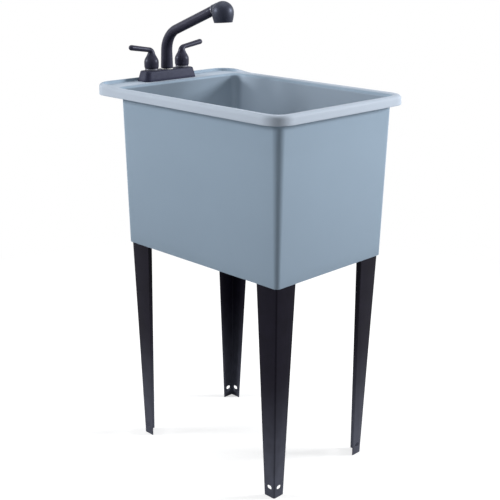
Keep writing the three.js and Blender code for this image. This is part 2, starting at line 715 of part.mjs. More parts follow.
function basket() {
  const sealBottom = cupFloor + GAP;
  const sealTop = sealBottom + BASKET_SEAL_THICKNESS;
  const bottom = sealTop + GAP;
  const inner = bottom + BASKET_WALL;
  const top = bottom + BASKET_DEPTH;
  const postBore = BASKET_POST_RADIUS + GAP;
  const cup = revolve([
    [0, inner], [BASKET_FLOOR_RADIUS - BASKET_WALL, inner],
    [BASKET_RADIUS - 2 * BASKET_WALL, top - BASKET_WALL], [BASKET_RADIUS - BASKET_WALL, top],
    [BASKET_RADIUS, top - BASKET_WALL / 2], [BASKET_FLOOR_RADIUS, bottom], [0, bottom],
  ], 0, drainY);
  const holes = [cylinder(postBore, bottom - CUT, inner + CUT, 0, drainY, 16)];
  for (let k = 0; k < 12; k += 1) {
    const angle = k / 12 * 2 * Math.PI;
    const circle = BASKET_HOLE_CIRCLE + (k % 2 ? 1 : -1) * BASKET_HOLE_RADIUS * 1.6;
    const [x, y] = [circle * Math.cos(angle), drainY + circle * Math.sin(angle)];
    holes.push(cylinder(BASKET_HOLE_RADIUS, bottom - CUT, inner + CUT, x, y, 8));
  }
  addPart('basket', 'steel', carve([cup], holes));
  addPart('basket_seal', 'rubber', tube(postBore, BASKET_SEAL_RADIUS, sealBottom, sealTop, 0, drainY));
  const knobBottom = top - BASKET_KNOB_HEIGHT;
  const flare = BASKET_KNOB_RADIUS - BASKET_POST_RADIUS;
  const chamfer = BASKET_POST_RADIUS / 4;
  const tail = cupBottom - BASKET_POST_TAIL;
  addPart('basket_post', 'steel', revolve([
    [0, tail], [BASKET_POST_RADIUS - chamfer, tail], [BASKET_POST_RADIUS, tail + chamfer],
    [BASKET_POST_RADIUS, knobBottom - flare], [BASKET_KNOB_RADIUS, knobBottom],
    [BASKET_KNOB_RADIUS, top - 2 * chamfer], [BASKET_KNOB_RADIUS - 2 * chamfer, top], [0, top],
  ], 0, drainY, 20));
}

addPart('drain_body', 'steel', drainBody());
drainHardware();
tailpiece();
basket();

// ---- faucet: base, waterway and valves ----------------------------------------------------------

function boxRing(halfX, halfY, radius, z) {
  return roundedRectangle(halfX, halfY, radius).map(([x, y]) => vec(faucetX + x, faucetY + y, z));
}

// Rounded box that narrows upwards, `inset` smaller all round than the base cover.
function taperedRing(inset, height) {
  const share = height / BASE_HEIGHT;
  const halfLength = BASE_LENGTH / 2 - BASE_END_TAPER * share - inset;
  const halfBreadth = BASE_DEPTH / 2 - BASE_SIDE_TAPER * share - inset;
  const radius = mix(BASE_CORNER_RADIUS, BASE_TOP_CORNER_RADIUS, share) - inset;
  return boxRing(halfLength, halfBreadth, radius, baseBottom + height);
}

function baseCover() {
  const outside = [taperedRing(0, 0)];
  for (const share of [0, 0.35, 0.7, 1]) {
    const angle = share * Math.PI / 2;
    const height = BASE_HEIGHT - BASE_EDGE_RADIUS * (1 - Math.sin(angle));
    outside.push(taperedRing(BASE_EDGE_RADIUS * (1 - Math.cos(angle)), height));
  }
  const cavity = loft([taperedRing(BASE_WALL, -CUT), taperedRing(BASE_WALL, BASE_HEIGHT - BASE_WALL)]);
  const bore = (x, radius) => cylinder(radius, baseTop - 2 * BASE_WALL, baseTop + CUT, x, faucetY, 32);
  return carve([loft(outside)], [
    cavity,
    bore(faucetX, POST_RADIUS + RUNNING_GAP),
    ...valvePlaces.map(place => bore(place.x, VALVE_NECK_RADIUS + RUNNING_GAP)),
  ]);
}

function deckGasket() {
  const inset = BASE_WALL + RUNNING_GAP;
  const share = DECK_GASKET_THICKNESS / BASE_HEIGHT;
  const halfLength = BASE_LENGTH / 2 - BASE_END_TAPER * share - inset;
  const halfBreadth = BASE_DEPTH / 2 - BASE_SIDE_TAPER * share - inset;
  const outline = roundedRectangle(halfLength, halfBreadth, BASE_CORNER_RADIUS - inset);
  const side = VALVE_SPACING / 2;
  const bore = SHANK_RADIUS + RUNNING_GAP;
  return prism(outline, baseBottom, baseBottom + DECK_GASKET_THICKNESS, faucetX, faucetY,
    [polygon(bore, 20, -side), polygon(bore, 20, side), polygon(POST_RADIUS, 20)]);
}

const waterwayBottom = baseBottom + DECK_GASKET_THICKNESS + GAP;
const waterwayTop = waterwayBottom + WATERWAY_HEIGHT;
const valveBottom = waterwayBottom + VALVE_FLOOR + GAP;
const valveShoulder = valveBottom + VALVE_BODY_HEIGHT;
const valveTop = valveShoulder + VALVE_NECK_HEIGHT;
const postTop = baseTop + POST_HEIGHT;
const hoseFoot = waterwayBottom + VALVE_FLOOR;

function waterway() {
  const socketRadius = VALVE_RADIUS + GAP + VALVE_SOCKET_WALL;
  const halfLength = VALVE_SPACING / 2 + socketRadius;
  const outline = roundedRectangle(halfLength, WATERWAY_WIDTH / 2, WATERWAY_WIDTH / 2 - GAP);
  const bar = prism(outline, waterwayBottom, waterwayTop, faucetX, faucetY);
  const post = cylinder(POST_RADIUS, waterwayBottom, postTop, faucetX, faucetY);
  const sockets = valvePlaces.map(place => (
    cylinder(socketRadius, waterwayBottom, waterwayBottom + VALVE_SOCKET_HEIGHT, place.x, faucetY)));
  const bores = valvePlaces.map(place => (
    cylinder(VALVE_RADIUS + GAP, waterwayBottom + VALVE_FLOOR, baseTop, place.x, faucetY)));
  return carve([bar, post, ...sockets], [
    ...bores,
    cylinder(POST_BORE_RADIUS, hoseFoot, postTop + CUT, faucetX, faucetY),
  ]);
}

const stemBottom = valveTop - STEM_LENGTH + STEM_GRIP;
const stemTop = stemBottom + STEM_LENGTH;

function valveCartridge(x) {
  const stemBore = STEM_RADIUS + RUNNING_GAP;
  return revolve([
    [0, valveBottom], [VALVE_RADIUS, valveBottom], [VALVE_RADIUS, valveShoulder],
    [VALVE_NECK_RADIUS, valveShoulder], [VALVE_NECK_RADIUS, valveTop], [stemBore, valveTop],
    [stemBore, stemBottom - GAP], [0, stemBottom - GAP],
  ], x, faucetY, 32);
}

function valveStem(x) {
  return prism(lobedOutline(STEM_RADIUS - GAP, GAP, 8), stemBottom, stemTop, x, faucetY);
}

// ---- faucet: collars and handles ----------------------------------------------------------------

const collarBottom = baseTop + GAP;
const collarTop = collarBottom + COLLAR_HEIGHT;
const handleBottom = collarTop + GAP;
const socketFloor = valveTop + 2 * RUNNING_GAP;
const setScrewHeight = (socketFloor + stemTop) / 2;

// Teardrop body whose centre line bends outwards into a round lever. Each station holds its
// distance out, its height, its lean from the vertical in degrees and its radius.
function handleStations() {
  const profile = [
    [0, HANDLE_FOOT_RADIUS],
    [0.08, mix(HANDLE_FOOT_RADIUS, HANDLE_BODY_RADIUS, 0.8)],
    [0.22, HANDLE_BODY_RADIUS],
    [0.4, HANDLE_BODY_RADIUS],
    [0.53, mix(HANDLE_NECK_RADIUS, HANDLE_BODY_RADIUS, 0.84)],
    [0.66, mix(HANDLE_NECK_RADIUS, HANDLE_BODY_RADIUS, 0.52)],
    [0.78, mix(HANDLE_NECK_RADIUS, HANDLE_BODY_RADIUS, 0.2)],
  ];
  const stations = profile.map(([share, radius]) => [0, share * HANDLE_BODY_HEIGHT, 0, radius]);
  const leverLean = 90 - LEVER_RISE_ANGLE;
  const bendSteps = 4;
  const bendRadius = HANDLE_NECK_RADIUS + RUNNING_GAP;
  const bendStart = HANDLE_BODY_HEIGHT - bendRadius / 2;
  for (let k = 0; k <= bendSteps; k += 1) {
    const lean = leverLean * k / bendSteps;
    const out = bendRadius * (1 - Math.cos(lean * DEG));
    const height = bendStart + bendRadius * Math.sin(lean * DEG);
    stations.push([out, height, lean, mix(HANDLE_NECK_RADIUS, LEVER_RADIUS, k / bendSteps)]);
  }
  const [elbowOut, elbowHeight] = stations.at(-1);
  const slope = Math.tan(LEVER_RISE_ANGLE * DEG);
  for (const turn of [0, 30, 60, 80]) {
    const out = HANDLE_REACH - LEVER_TIP_RADIUS * (1 - Math.sin(turn * DEG));
    const height = elbowHeight + (out - elbowOut) * slope;
    stations.push([out, height, leverLean, LEVER_TIP_RADIUS * Math.cos(turn * DEG)]);
  }
  return stations;
}

function handle({ x, outward }) {
  const side = vec(0, 1, 0);
  const rings = handleStations().map(([out, height, lean, radius]) => {
    const centre = vec(x + outward * out, faucetY, handleBottom + height);
    const along = vec(outward * Math.sin(lean * DEG), 0, Math.cos(lean * DEG));
    return circleAround(centre, along, side, radius, 20);
  });
  const hole = SET_SCREW_RADIUS + GAP;
  const screwHole = new THREE.CylinderGeometry(hole, hole, 2 * HANDLE_BODY_RADIUS, 12);
  screwHole.translate(x, faucetY + HANDLE_BODY_RADIUS, setScrewHeight);
  return carve([loft(rings)], [
    cylinder(HANDLE_CAVITY_RADIUS, handleBottom - CUT, socketFloor, x, faucetY, 20),
    cylinder(STEM_RADIUS + GAP, socketFloor - CUT, stemTop + GAP, x, faucetY, 16),
    screwHole,
  ]);
}

function setScrew(x) {
  const screw = new THREE.CylinderGeometry(SET_SCREW_RADIUS, SET_SCREW_RADIUS, SET_SCREW_LENGTH, 12);
  return screw.translate(x, faucetY + STEM_RADIUS + GAP + SET_SCREW_LENGTH / 2, setScrewHeight);
}

function valveSet(place) {
  const { name, x } = place;
  addPart(`${name}_valve_cartridge`, 'brass', valveCartridge(x));
  addPart(`${name}_valve_stem`, 'brass', valveStem(x));
  addPart(`${name}_bonnet_nut`, 'brass', prism(polygon(BONNET_NUT_RADIUS, 6), collarBottom,
    collarBottom + BONNET_NUT_HEIGHT, x, faucetY, [polygon(VALVE_NECK_RADIUS + GAP, 20)]));
  addPart(`${name}_collar`, 'ring',
    tube(COLLAR_BORE_RADIUS, COLLAR_RADIUS, collarBottom, collarTop, x, faucetY));
  addPart(`${name}_handle`, 'faucet', handle(place));
  addPart(`${name}_set_screw`, 'steel', setScrew(x));
}

function shankSet({ name, x }) {
  const top = waterwayBottom - GAP;
  const washerTop = deckUnderside - GAP;
  const washerFoot = washerTop - MOUNT_WASHER_THICKNESS;
  const nutTop = washerFoot - GAP;
  const bore = SHANK_RADIUS + GAP;
  const shank = tube(SHANK_BORE_RADIUS, SHANK_RADIUS, top - SHANK_LENGTH, top, x, faucetY, 24);
  const washer = tube(bore, MOUNT_WASHER_RADIUS, washerFoot, washerTop, x, faucetY, 24);
  const outline = lobedOutline(MOUNT_NUT_RADIUS, NUT_LUG_DEPTH, 4);
  const nut = prism(outline, nutTop - MOUNT_NUT_HEIGHT, nutTop, x, faucetY, [polygon(bore, 24)]);
  addPart(`${name}_shank`, 'brass', shank);
  addPart(`${name}_mounting_washer`, 'white', washer);
  addPart(`${name}_mounting_nut`, 'plastic', nut);
}

addPart('faucet_base', 'faucet', baseCover());
addPart('deck_gasket', 'rubber', deckGasket());
addPart('waterway', 'brass', waterway());
valvePlaces.forEach(valveSet);
valvePlaces.forEach(shankSet);

// ---- faucet: spout ------------------------------------------------------------------------------

const washerBottom = baseTop + GAP;
const riserFoot = washerBottom + SPOUT_WASHER_THICKNESS + GAP;
const bendHeight = deckTop + SPOUT_BEND_HEIGHT;
const bendTurn = (90 - SPOUT_RISE_ANGLE) * DEG;
const bendTangent = SPOUT_BEND_RADIUS * Math.tan(bendTurn / 2);
const tubeEnd = SPOUT_REACH / Math.cos(SPOUT_RISE_ANGLE * DEG);
const tubeDirection = vec(0, -Math.cos(SPOUT_RISE_ANGLE * DEG), Math.sin(SPOUT_RISE_ANGLE * DEG));
const bendPoint = vec(faucetX, faucetY, bendHeight);
const sideways = vec(1, 0, 0);

function riserRing(z, radius, sides) {
  return circleAround(vec(faucetX, faucetY, z), vec(0, 0, 1), sideways, radius, sides);
}

// The ring at a distance beyond the bend point, along the slanted tube.
function tubeRing(distance, radius, sides) {
  const centre = bendPoint.clone().addScaledVector(tubeDirection, distance);
  return circleAround(centre, tubeDirection, sideways, radius, sides);
}

// Rings round the spout's bend. The radius changes evenly from its start to its end.
function bendRings(startRadius, endRadius, sides, steps = 8) {
  const rings = [];
  const start = bendHeight - bendTangent;
  for (let k = 0; k <= steps; k += 1) {
    const angle = bendTurn * k / steps;
    const out = SPOUT_BEND_RADIUS * (1 - Math.cos(angle));
    const centre = vec(faucetX, faucetY - out, start + SPOUT_BEND_RADIUS * Math.sin(angle));
    const along = vec(0, -Math.sin(angle), Math.cos(angle));
    const radius = mix(startRadius, endRadius, k / steps);
    rings.push(circleAround(centre, along, sideways, radius, sides));
  }
  return rings;
}

function spout() {
  const sides = 24;
  const boreStep = postTop + 2 * RUNNING_GAP;
  const outside = [
    riserRing(riserFoot, RISER_FOOT_RADIUS, sides),
    ...bendRings(RISER_TOP_RADIUS, SPOUT_RADIUS, sides),
    tubeRing(tubeEnd, SPOUT_RADIUS, sides),
  ];
  const inside = [
    riserRing(riserFoot, RISER_BORE_RADIUS, sides),
    riserRing(boreStep, RISER_BORE_RADIUS, sides),
    riserRing(boreStep + RUNNING_GAP, SPOUT_BORE_RADIUS, sides),
    ...bendRings(SPOUT_BORE_RADIUS, SPOUT_BORE_RADIUS, sides),
    tubeRing(tubeEnd, SPOUT_BORE_RADIUS, sides),
  ];
  return loft([...outside, ...inside.toReversed()], { loop: true });
}

function oRing(z) {
  const middle = (POST_RADIUS + RISER_BORE_RADIUS) / 2;
  return new THREE.TorusGeometry(middle, O_RING_SECTION, 6, 24).translate(faucetX, faucetY, z);
}

function slantedTube(bore, radius, from, to, sides) {
  const rings = [[from, radius], [to, radius], [to, bore], [from, bore]];
  return loft(rings.map(([distance, size]) => tubeRing(distance, size, sides)), { loop: true });
}

const dockStart = tubeEnd + GAP;
const dockEnd = dockStart + DOCK_RING_THICKNESS;

const washerTop = washerBottom + SPOUT_WASHER_THICKNESS;
addPart('spout_washer', 'white',
  tube(RISER_BORE_RADIUS, RISER_FOOT_RADIUS - GAP, washerBottom, washerTop, faucetX, faucetY));
addPart('spout', 'faucet', spout());
addPart('lower_o_ring', 'rubber', oRing(baseTop + POST_HEIGHT / 2 - O_RING_SPACING / 2));
addPart('upper_o_ring', 'rubber', oRing(baseTop + POST_HEIGHT / 2 + O_RING_SPACING / 2));
addPart('dock_ring', 'ring',
  slantedTube(NECK_RADIUS + RUNNING_GAP, DOCK_RING_RADIUS, dockStart, dockEnd, 28));

// ---- faucet: spray head and hose ----------------------------------------------------------------

const seat = dockEnd + GAP;
const neckEnd = seat + HEAD_BOSS_LENGTH - GAP;
const neckStart = neckEnd - NECK_LENGTH;
const hoseEnd = neckStart - GAP;
const hoseSplit = hoseEnd - HOSE_RIDING_LENGTH;

// Half outline of the head from the mouth's edge to the crown, with the mouth at height 0.
function headProfile(shrink) {
  const radius = HEAD_RADIUS - shrink;
  const mouth = HEAD_MOUTH_RADIUS - shrink;
  const crown = HEAD_HEIGHT - shrink;
  const shoulder = HEAD_HEIGHT - HEAD_RADIUS;
  const points = [
    [mouth, 0],
    [mix(mouth, radius, 0.55), shoulder * 0.3],
    [mix(mouth, radius, 0.9), shoulder * 0.7],
  ];
  const steps = 7;
  for (let k = 0; k < steps; k += 1) {
    const angle = k / steps * Math.PI / 2;
    points.push([radius * Math.cos(angle), shoulder + (crown - shoulder) * Math.sin(angle)]);
  }
  points.push([0, crown]);
  return points;
}

// The head leans a little forward, and its side meets the dock ring.
const headOut = SPOUT_REACH + HEAD_SETBACK;
const headBase = bendHeight + headOut * Math.tan(SPOUT_RISE_ANGLE * DEG) - HEAD_HEIGHT * HEAD_SEAT_SHARE;
const headPlace = new THREE.Matrix4()
  .makeTranslation(faucetX, faucetY - headOut, headBase)
  .multiply(new THREE.Matrix4().makeRotationX(-HEAD_TILT * DEG));

function slantedRod(radius, from, to) {
  return loft([tubeRing(from, radius, 24), tubeRing(to, radius, 24)]);
}

function sprayHead() {
  const outside = headProfile(0);
  const inside = headProfile(HEAD_WALL);
  const dome = revolve([...outside, ...inside.toReversed()], 0, 0).applyMatrix4(headPlace);
  const boss = slantedRod(HEAD_BOSS_RADIUS, seat, seat + HEAD_BOSS_LENGTH);
  return carve([dome, boss], [
    slantedRod(NECK_RADIUS + GAP, seat - CUT, seat + HEAD_BOSS_LENGTH + CUT),
    slantedRod(HEAD_RADIUS, seat - HEAD_RADIUS, seat),
  ]);
}

function sprayFace() {
  const radius = HEAD_MOUTH_RADIUS - HEAD_WALL - GAP;
  const nozzles = [polygon(NOZZLE_RADIUS, 8)];
  for (const [count, circle] of [[6, radius * 0.42], [10, radius * 0.78]]) {
    for (const [x, y] of polygon(circle, count)) nozzles.push(polygon(NOZZLE_RADIUS, 8, x, y));
  }
  const height = SPRAY_FACE_RECESS + SPRAY_FACE_THICKNESS;
  return prism(polygon(radius, 28), SPRAY_FACE_RECESS, height, 0, 0, nozzles).applyMatrix4(headPlace);
}

function lowerHose() {
  const sides = 14;
  return loft([riserRing(hoseFoot + GAP, HOSE_RADIUS, sides), ...bendRings(HOSE_RADIUS, HOSE_RADIUS, sides),
    tubeRing(hoseSplit - GAP, HOSE_RADIUS, sides)]);
}

function ridingHose() {
  return loft([tubeRing(hoseSplit, HOSE_RADIUS, 14), tubeRing(hoseEnd, HOSE_RADIUS, 14)]);
}

addPart('spray_neck', 'plastic', slantedTube(NECK_BORE_RADIUS, NECK_RADIUS, neckStart, neckEnd, 28));
addPart('spray_head', 'head', sprayHead());
addPart('spray_face', 'plastic', sprayFace());
addPart('riding_hose', 'steel', ridingHose());
addPart('lower_hose', 'steel', lowerHose());

export default group;
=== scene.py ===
import json
import math

import bpy
from mathutils import Matrix, Vector


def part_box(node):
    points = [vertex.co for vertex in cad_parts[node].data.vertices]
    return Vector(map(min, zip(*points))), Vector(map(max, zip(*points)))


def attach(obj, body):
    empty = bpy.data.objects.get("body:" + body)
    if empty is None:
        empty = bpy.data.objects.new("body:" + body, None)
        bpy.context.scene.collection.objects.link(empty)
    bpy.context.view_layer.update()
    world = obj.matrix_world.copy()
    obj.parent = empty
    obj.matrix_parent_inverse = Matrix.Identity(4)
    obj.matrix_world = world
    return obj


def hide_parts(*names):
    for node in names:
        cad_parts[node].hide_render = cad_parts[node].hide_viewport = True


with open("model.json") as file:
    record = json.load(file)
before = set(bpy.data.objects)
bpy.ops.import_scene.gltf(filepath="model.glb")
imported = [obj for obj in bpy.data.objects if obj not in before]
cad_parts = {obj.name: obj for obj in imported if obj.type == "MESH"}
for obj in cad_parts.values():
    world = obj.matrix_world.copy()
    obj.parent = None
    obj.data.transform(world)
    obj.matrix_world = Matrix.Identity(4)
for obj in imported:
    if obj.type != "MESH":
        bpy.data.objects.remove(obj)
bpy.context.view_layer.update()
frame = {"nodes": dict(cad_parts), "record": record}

# ---- sizes in metres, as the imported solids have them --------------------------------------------

# play between pieces
SLACK = 0.0005
GAP = 0.0003

# the rim and its raised edge at the back
TUB_LOW, TUB_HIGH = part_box("tub")
HALF_WIDTH = TUB_HIGH.x
HALF_DEPTH = TUB_HIGH.y
RIDGE_RISE = 0.005
RIM_TOP = TUB_HIGH.z - RIDGE_RISE
LIP_BOTTOM = RIM_TOP - 0.022
LIP_THICKNESS = 0.004
LIP_DRAFT = 0.0005
RIM_CORNER = 0.050
EDGE_RADIUS = 0.008
RIM_FLAT = 0.002
RIM_ROLL_HEIGHT = 0.009
PLATE_UNDERSIDE = RIM_TOP - 0.008

# the flat deck that carries the faucet
DECK_TOP = RIM_TOP - 0.002
DECK_UNDERSIDE = DECK_TOP - 0.005
DECK_LIP = 0.014
DECK_LIP_HEIGHT = 0.007
RIDGE_FLAT = 0.0015
RIDGE_SLOPE = 0.003

# walls, skirt and floor of the basin
SIDE_OVERHANG = 0.0295
FRONT_OVERHANG = 0.024
BACK_OVERHANG = 0.071
WALL = 0.004
WALL_CORNER = 0.022
SKIRT_CORNER = 0.012
SKIRT_BOTTOM = TUB_LOW.z
BASIN_WALL_TOP = 0.905
SIDE_DRAFT = 0.030
END_DRAFT = 0.022
FLOOR_EDGE = SKIRT_BOTTOM + 0.046
FLOOR_FALL = 0.008
FLOOR_THICKNESS = 0.005
FLOOR_FILLET = 0.022
DRAIN_HOLE = 0.0445
DRAIN_STEP = 0.001
DRAIN_SEAT = FLOOR_EDGE - FLOOR_FALL - DRAIN_STEP
DRAIN_SEAT_RADIUS = 0.0575
DRAIN_PAD_RADIUS = 0.062
SOFT_EDGE = 0.0009

# sockets of the legs, inside the skirt
LEG_INSET = 0.002
LEG_THICKNESS = 0.0022
LEG_FLANGE_AT_SOCKET = 0.0637
SOCKET_BOTTOM = SKIRT_BOTTOM + 0.005
SOCKET_WALL = 0.004
SOCKET_CORNER = 0.009
POCKET_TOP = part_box("leg_front_left")[1].z + 0.0003

# faucet base, and the rings on it
BASE_LOW, BASE_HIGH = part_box("faucet_base")
FAUCET_X = (BASE_LOW.x + BASE_HIGH.x) / 2
FAUCET_Y = (BASE_LOW.y + BASE_HIGH.y) / 2
BASE_END_TAPER = 0.008
BASE_SIDE_TAPER = 0.0045
BASE_CORNER = 0.015
BASE_TOP_CORNER = 0.011
BASE_EDGE = 0.0025
BASE_FOOT_EDGE = 0.0006
BASE_FOOT_INSET = 0.0004
BASE_WALL = 0.003
VALVES = {"hot": -1, "cold": 1}
VALVE_SPACING = 0.1016
COLLAR_BORE = 0.0124
RING_EDGE = 0.0008

# handles: a teardrop body, an elbow and a lever
HANDLE_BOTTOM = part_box("hot_handle")[0].z
HANDLE_FOOT = 0.0172
HANDLE_BODY = 0.0182
HANDLE_HEIGHT = 0.0412
HANDLE_REACH = 0.0695
HANDLE_NECK = 0.0094
HANDLE_EDGE = ((0, 0.0006), (0.0004, 0.0001))  # (height, inset) of its soft lower edge
HANDLE_BORE = 0.009
HANDLE_BORE_DEPTH = 0.006
LEVER_RADIUS = 0.0061
LEVER_TIP = 0.0068
LEVER_RISE = math.radians(9)

# spout: riser, bend and slanted tube
RISER_FOOT_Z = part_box("spout")[0].z
RISER_FOOT = 0.0155
RISER_TOP = 0.0143
RISER_BORE = 0.012
RISER_EDGE = 0.0006
RISER_STRAIGHT = 0.004
SPOUT_RADIUS = 0.012
SPOUT_BORE = 0.0104
SPOUT_BORE_DEPTH = 0.02
SPOUT_EDGE = 0.0005
BEND_HEIGHT = DECK_TOP + 0.111
BEND_RADIUS = 0.060
SPOUT_RISE = math.radians(21.7)
SPOUT_REACH = 0.173
TUBE_END = SPOUT_REACH / math.cos(SPOUT_RISE)

# ring at the end of the spout, and the spray head
DOCK_RADIUS = 0.0132
DOCK_THICKNESS = 0.004
NECK_RADIUS = 0.0096
HEAD_RADIUS = 0.0263
HEAD_MOUTH = 0.0219
HEAD_HEIGHT = 0.050
HEAD_TIP = 0.0004
HEAD_WALL = 0.003
HEAD_TILT = math.radians(4)
HEAD_SETBACK = 0.0333
HEAD_SEAT_SHARE = 0.8
HEAD_BOSS = 0.0128
HEAD_BOSS_LENGTH = 0.012
HEAD_BOSS_EDGE = 0.0005
HEAD_SIDES = 72


def mix(a, b, t):
    return a + (b - a) * t


def smoothstep(x, low, high):
    t = min(max((x - low) / (high - low), 0), 1)
    return t * t * (3 - 2 * t)


# ---- camera, floor and light --------------------------------------------------------------------

CAMERA_AT = Vector((-1.6854, -1.6654, 1.2793))
CAMERA_TARGET = Vector((-0.0586, -0.0721, 0.5537))
CAMERA_ROLL = math.radians(0.48)
LENS = 71.68
SENSOR_WIDTH = 36
CLIP_END = 50

AMBIENT = (0.92, 0.96, 1.0)
AMBIENT_STRENGTH = 0.14
SOFTBOXES = (
    # name, centre, target, width, height, power, spread in degrees
    ("left_softbox", (-4.3, 3.9, 2.6), (0, 0, 0.6), 1.9, 1.4, 322, 180),
    ("right_softbox", (4.6, -4.1, 2.6), (0, 0, 0.6), 1.9, 1.4, 508, 180),
    ("basin_fill", (0.03, 0.06, 0.89), (0.18, 0.23, 0.82), 0.1, 0.1, 0.12, 120),
    ("top_softbox", (0, 0, 3.4), (0, 0, 0.9), 2.6, 2.6, 40, 180),
)

FLOOR_SIZE = 6
FLOOR_DROP = 0.0005
FLOOR_SHADE = 0.6
FLOOR_GLOW = 0.6
FLOOR_SHOWN = 1.15 - FLOOR_GLOW  # both add up to white in plain light
FLOOR_FADE = (0.7, 1.8)  # from the middle out, where the shadow gives way to white


def add_camera():
    data = bpy.data.cameras.new("camera")
    data.lens = LENS
    data.sensor_width = SENSOR_WIDTH
    data.clip_end = CLIP_END
    camera = bpy.data.objects.new("camera", data)
    back = (CAMERA_AT - CAMERA_TARGET).normalized()
    right = Vector((0, 0, 1)).cross(back).normalized()
    up = back.cross(right)
    turned_right = right * math.cos(CAMERA_ROLL) + up * math.sin(CAMERA_ROLL)
    turned_up = up * math.cos(CAMERA_ROLL) - right * math.sin(CAMERA_ROLL)
    columns = Matrix((turned_right, turned_up, back)).transposed().to_4x4()
    camera.matrix_world = Matrix.Translation(CAMERA_AT) @ columns
    bpy.context.scene.collection.objects.link(camera)
    bpy.context.scene.camera = camera


def add_softbox(name, centre, target, width, height, power, spread):
    data = bpy.data.lights.new(name, "AREA")
    data.shape = "RECTANGLE"
    data.size = width
    data.size_y = height
    data.energy = power
    data.spread = math.radians(spread)
    light = bpy.data.objects.new(name, data)
    light.location = centre
    light.rotation_euler = (Vector(centre) - Vector(target)).to_track_quat("Z", "Y").to_euler()
    bpy.context.scene.collection.objects.link(light)


def seen_rays(nodes, links):
    """1 for rays that show the background: to the camera, in gloss and through glass."""
    path = nodes.new("ShaderNodeLightPath")
    total = path.outputs["Is Camera Ray"]
    for kind in ("Is Glossy Ray", "Is Transmission Ray"):
        either = nodes.new("ShaderNodeMath")
        either.operation = "MAXIMUM"
        links.new(total, either.inputs[0])
        links.new(path.outputs[kind], either.inputs[1])
        total = either.outputs[0]
    return total


def add_world():
    """White where it is seen, and a faint even light on the object."""
    world = bpy.data.worlds.new("studio")
    world.use_nodes = True
    nodes = world.node_tree.nodes
    links = world.node_tree.links
    nodes.clear()
    out = nodes.new("ShaderNodeOutputWorld")
    choose = nodes.new("ShaderNodeMixShader")
    fill = nodes.new("ShaderNodeBackground")
    white = nodes.new("ShaderNodeBackground")
    fill.inputs["Color"].default_value = (*AMBIENT, 1)
    fill.inputs["Strength"].default_value = AMBIENT_STRENGTH
    links.new(seen_rays(nodes, links), choose.inputs[0])
    links.new(fill.outputs[0], choose.inputs[1])
    links.new(white.outputs[0], choose.inputs[2])
    white.inputs["Color"].default_value = (1, 1, 1, 1)
    links.new(choose.outputs[0], out.inputs[0])
    bpy.context.scene.world = world


def add_floor():
    """A pale floor that shows the object's shadow and turns plain white further out."""
    mesh = bpy.data.meshes.new("floor")
    corners = ((-1, -1), (1, -1), (1, 1), (-1, 1))
    points = [(x * FLOOR_SIZE, y * FLOOR_SIZE, 0) for x, y in corners]
    mesh.from_pydata(points, [], [(0, 1, 2, 3)])
    floor = bpy.data.objects.new("floor", mesh)
    floor.location.z = -FLOOR_DROP
    bpy.context.scene.collection.objects.link(floor)
    material = bpy.data.materials.new("floor")
    material.use_nodes = True
    nodes = material.node_tree.nodes
    links = material.node_tree.links
    nodes.clear()
    out = nodes.new("ShaderNodeOutputMaterial")
    choose = nodes.new("ShaderNodeMixShader")
    matte = nodes.new("ShaderNodeBsdfDiffuse")
    shown = nodes.new("ShaderNodeBsdfDiffuse")
    lift = nodes.new("ShaderNodeEmission")
    lifted = nodes.new("ShaderNodeAddShader")
    white = nodes.new("ShaderNodeEmission")
    fade = nodes.new("ShaderNodeMixShader")
    place = nodes.new("ShaderNodeTexCoord")
    distance = nodes.new("ShaderNodeVectorMath")
    spread = nodes.new("ShaderNodeMapRange")
    distance.operation = "LENGTH"
    spread.inputs["From Min"].default_value = FLOOR_FADE[0]
    spread.inputs["From Max"].default_value = FLOOR_FADE[1]
    matte.inputs["Color"].default_value = (FLOOR_SHADE, FLOOR_SHADE, FLOOR_SHADE, 1)
    shown.inputs["Color"].default_value = (FLOOR_SHOWN, FLOOR_SHOWN, FLOOR_SHOWN, 1)
    lift.inputs["Strength"].default_value = FLOOR_GLOW
    links.new(place.outputs["Object"], distance.inputs[0])
    links.new(distance.outputs["Value"], spread.inputs["Value"])
    links.new(shown.outputs[0], lifted.inputs[0])
    links.new(lift.outputs[0], lifted.inputs[1])
    links.new(spread.outputs[0], fade.inputs[0])
    links.new(lifted.outputs[0], fade.inputs[1])
    links.new(white.outputs[0], fade.inputs[2])
    links.new(seen_rays(nodes, links), choose.inputs[0])
    links.new(matte.outputs[0], choose.inputs[1])
    links.new(fade.outputs[0], choose.inputs[2])
    links.new(choose.outputs[0], out.inputs[0])
    mesh.materials.append(material)


# ---- materials ----------------------------------------------------------------------------------


BAND_LENGTH = math.pi / 10  # of a wave texture at scale 1, in metres


def tint(colour, factor):
    return tuple(channel * factor for channel in colour)


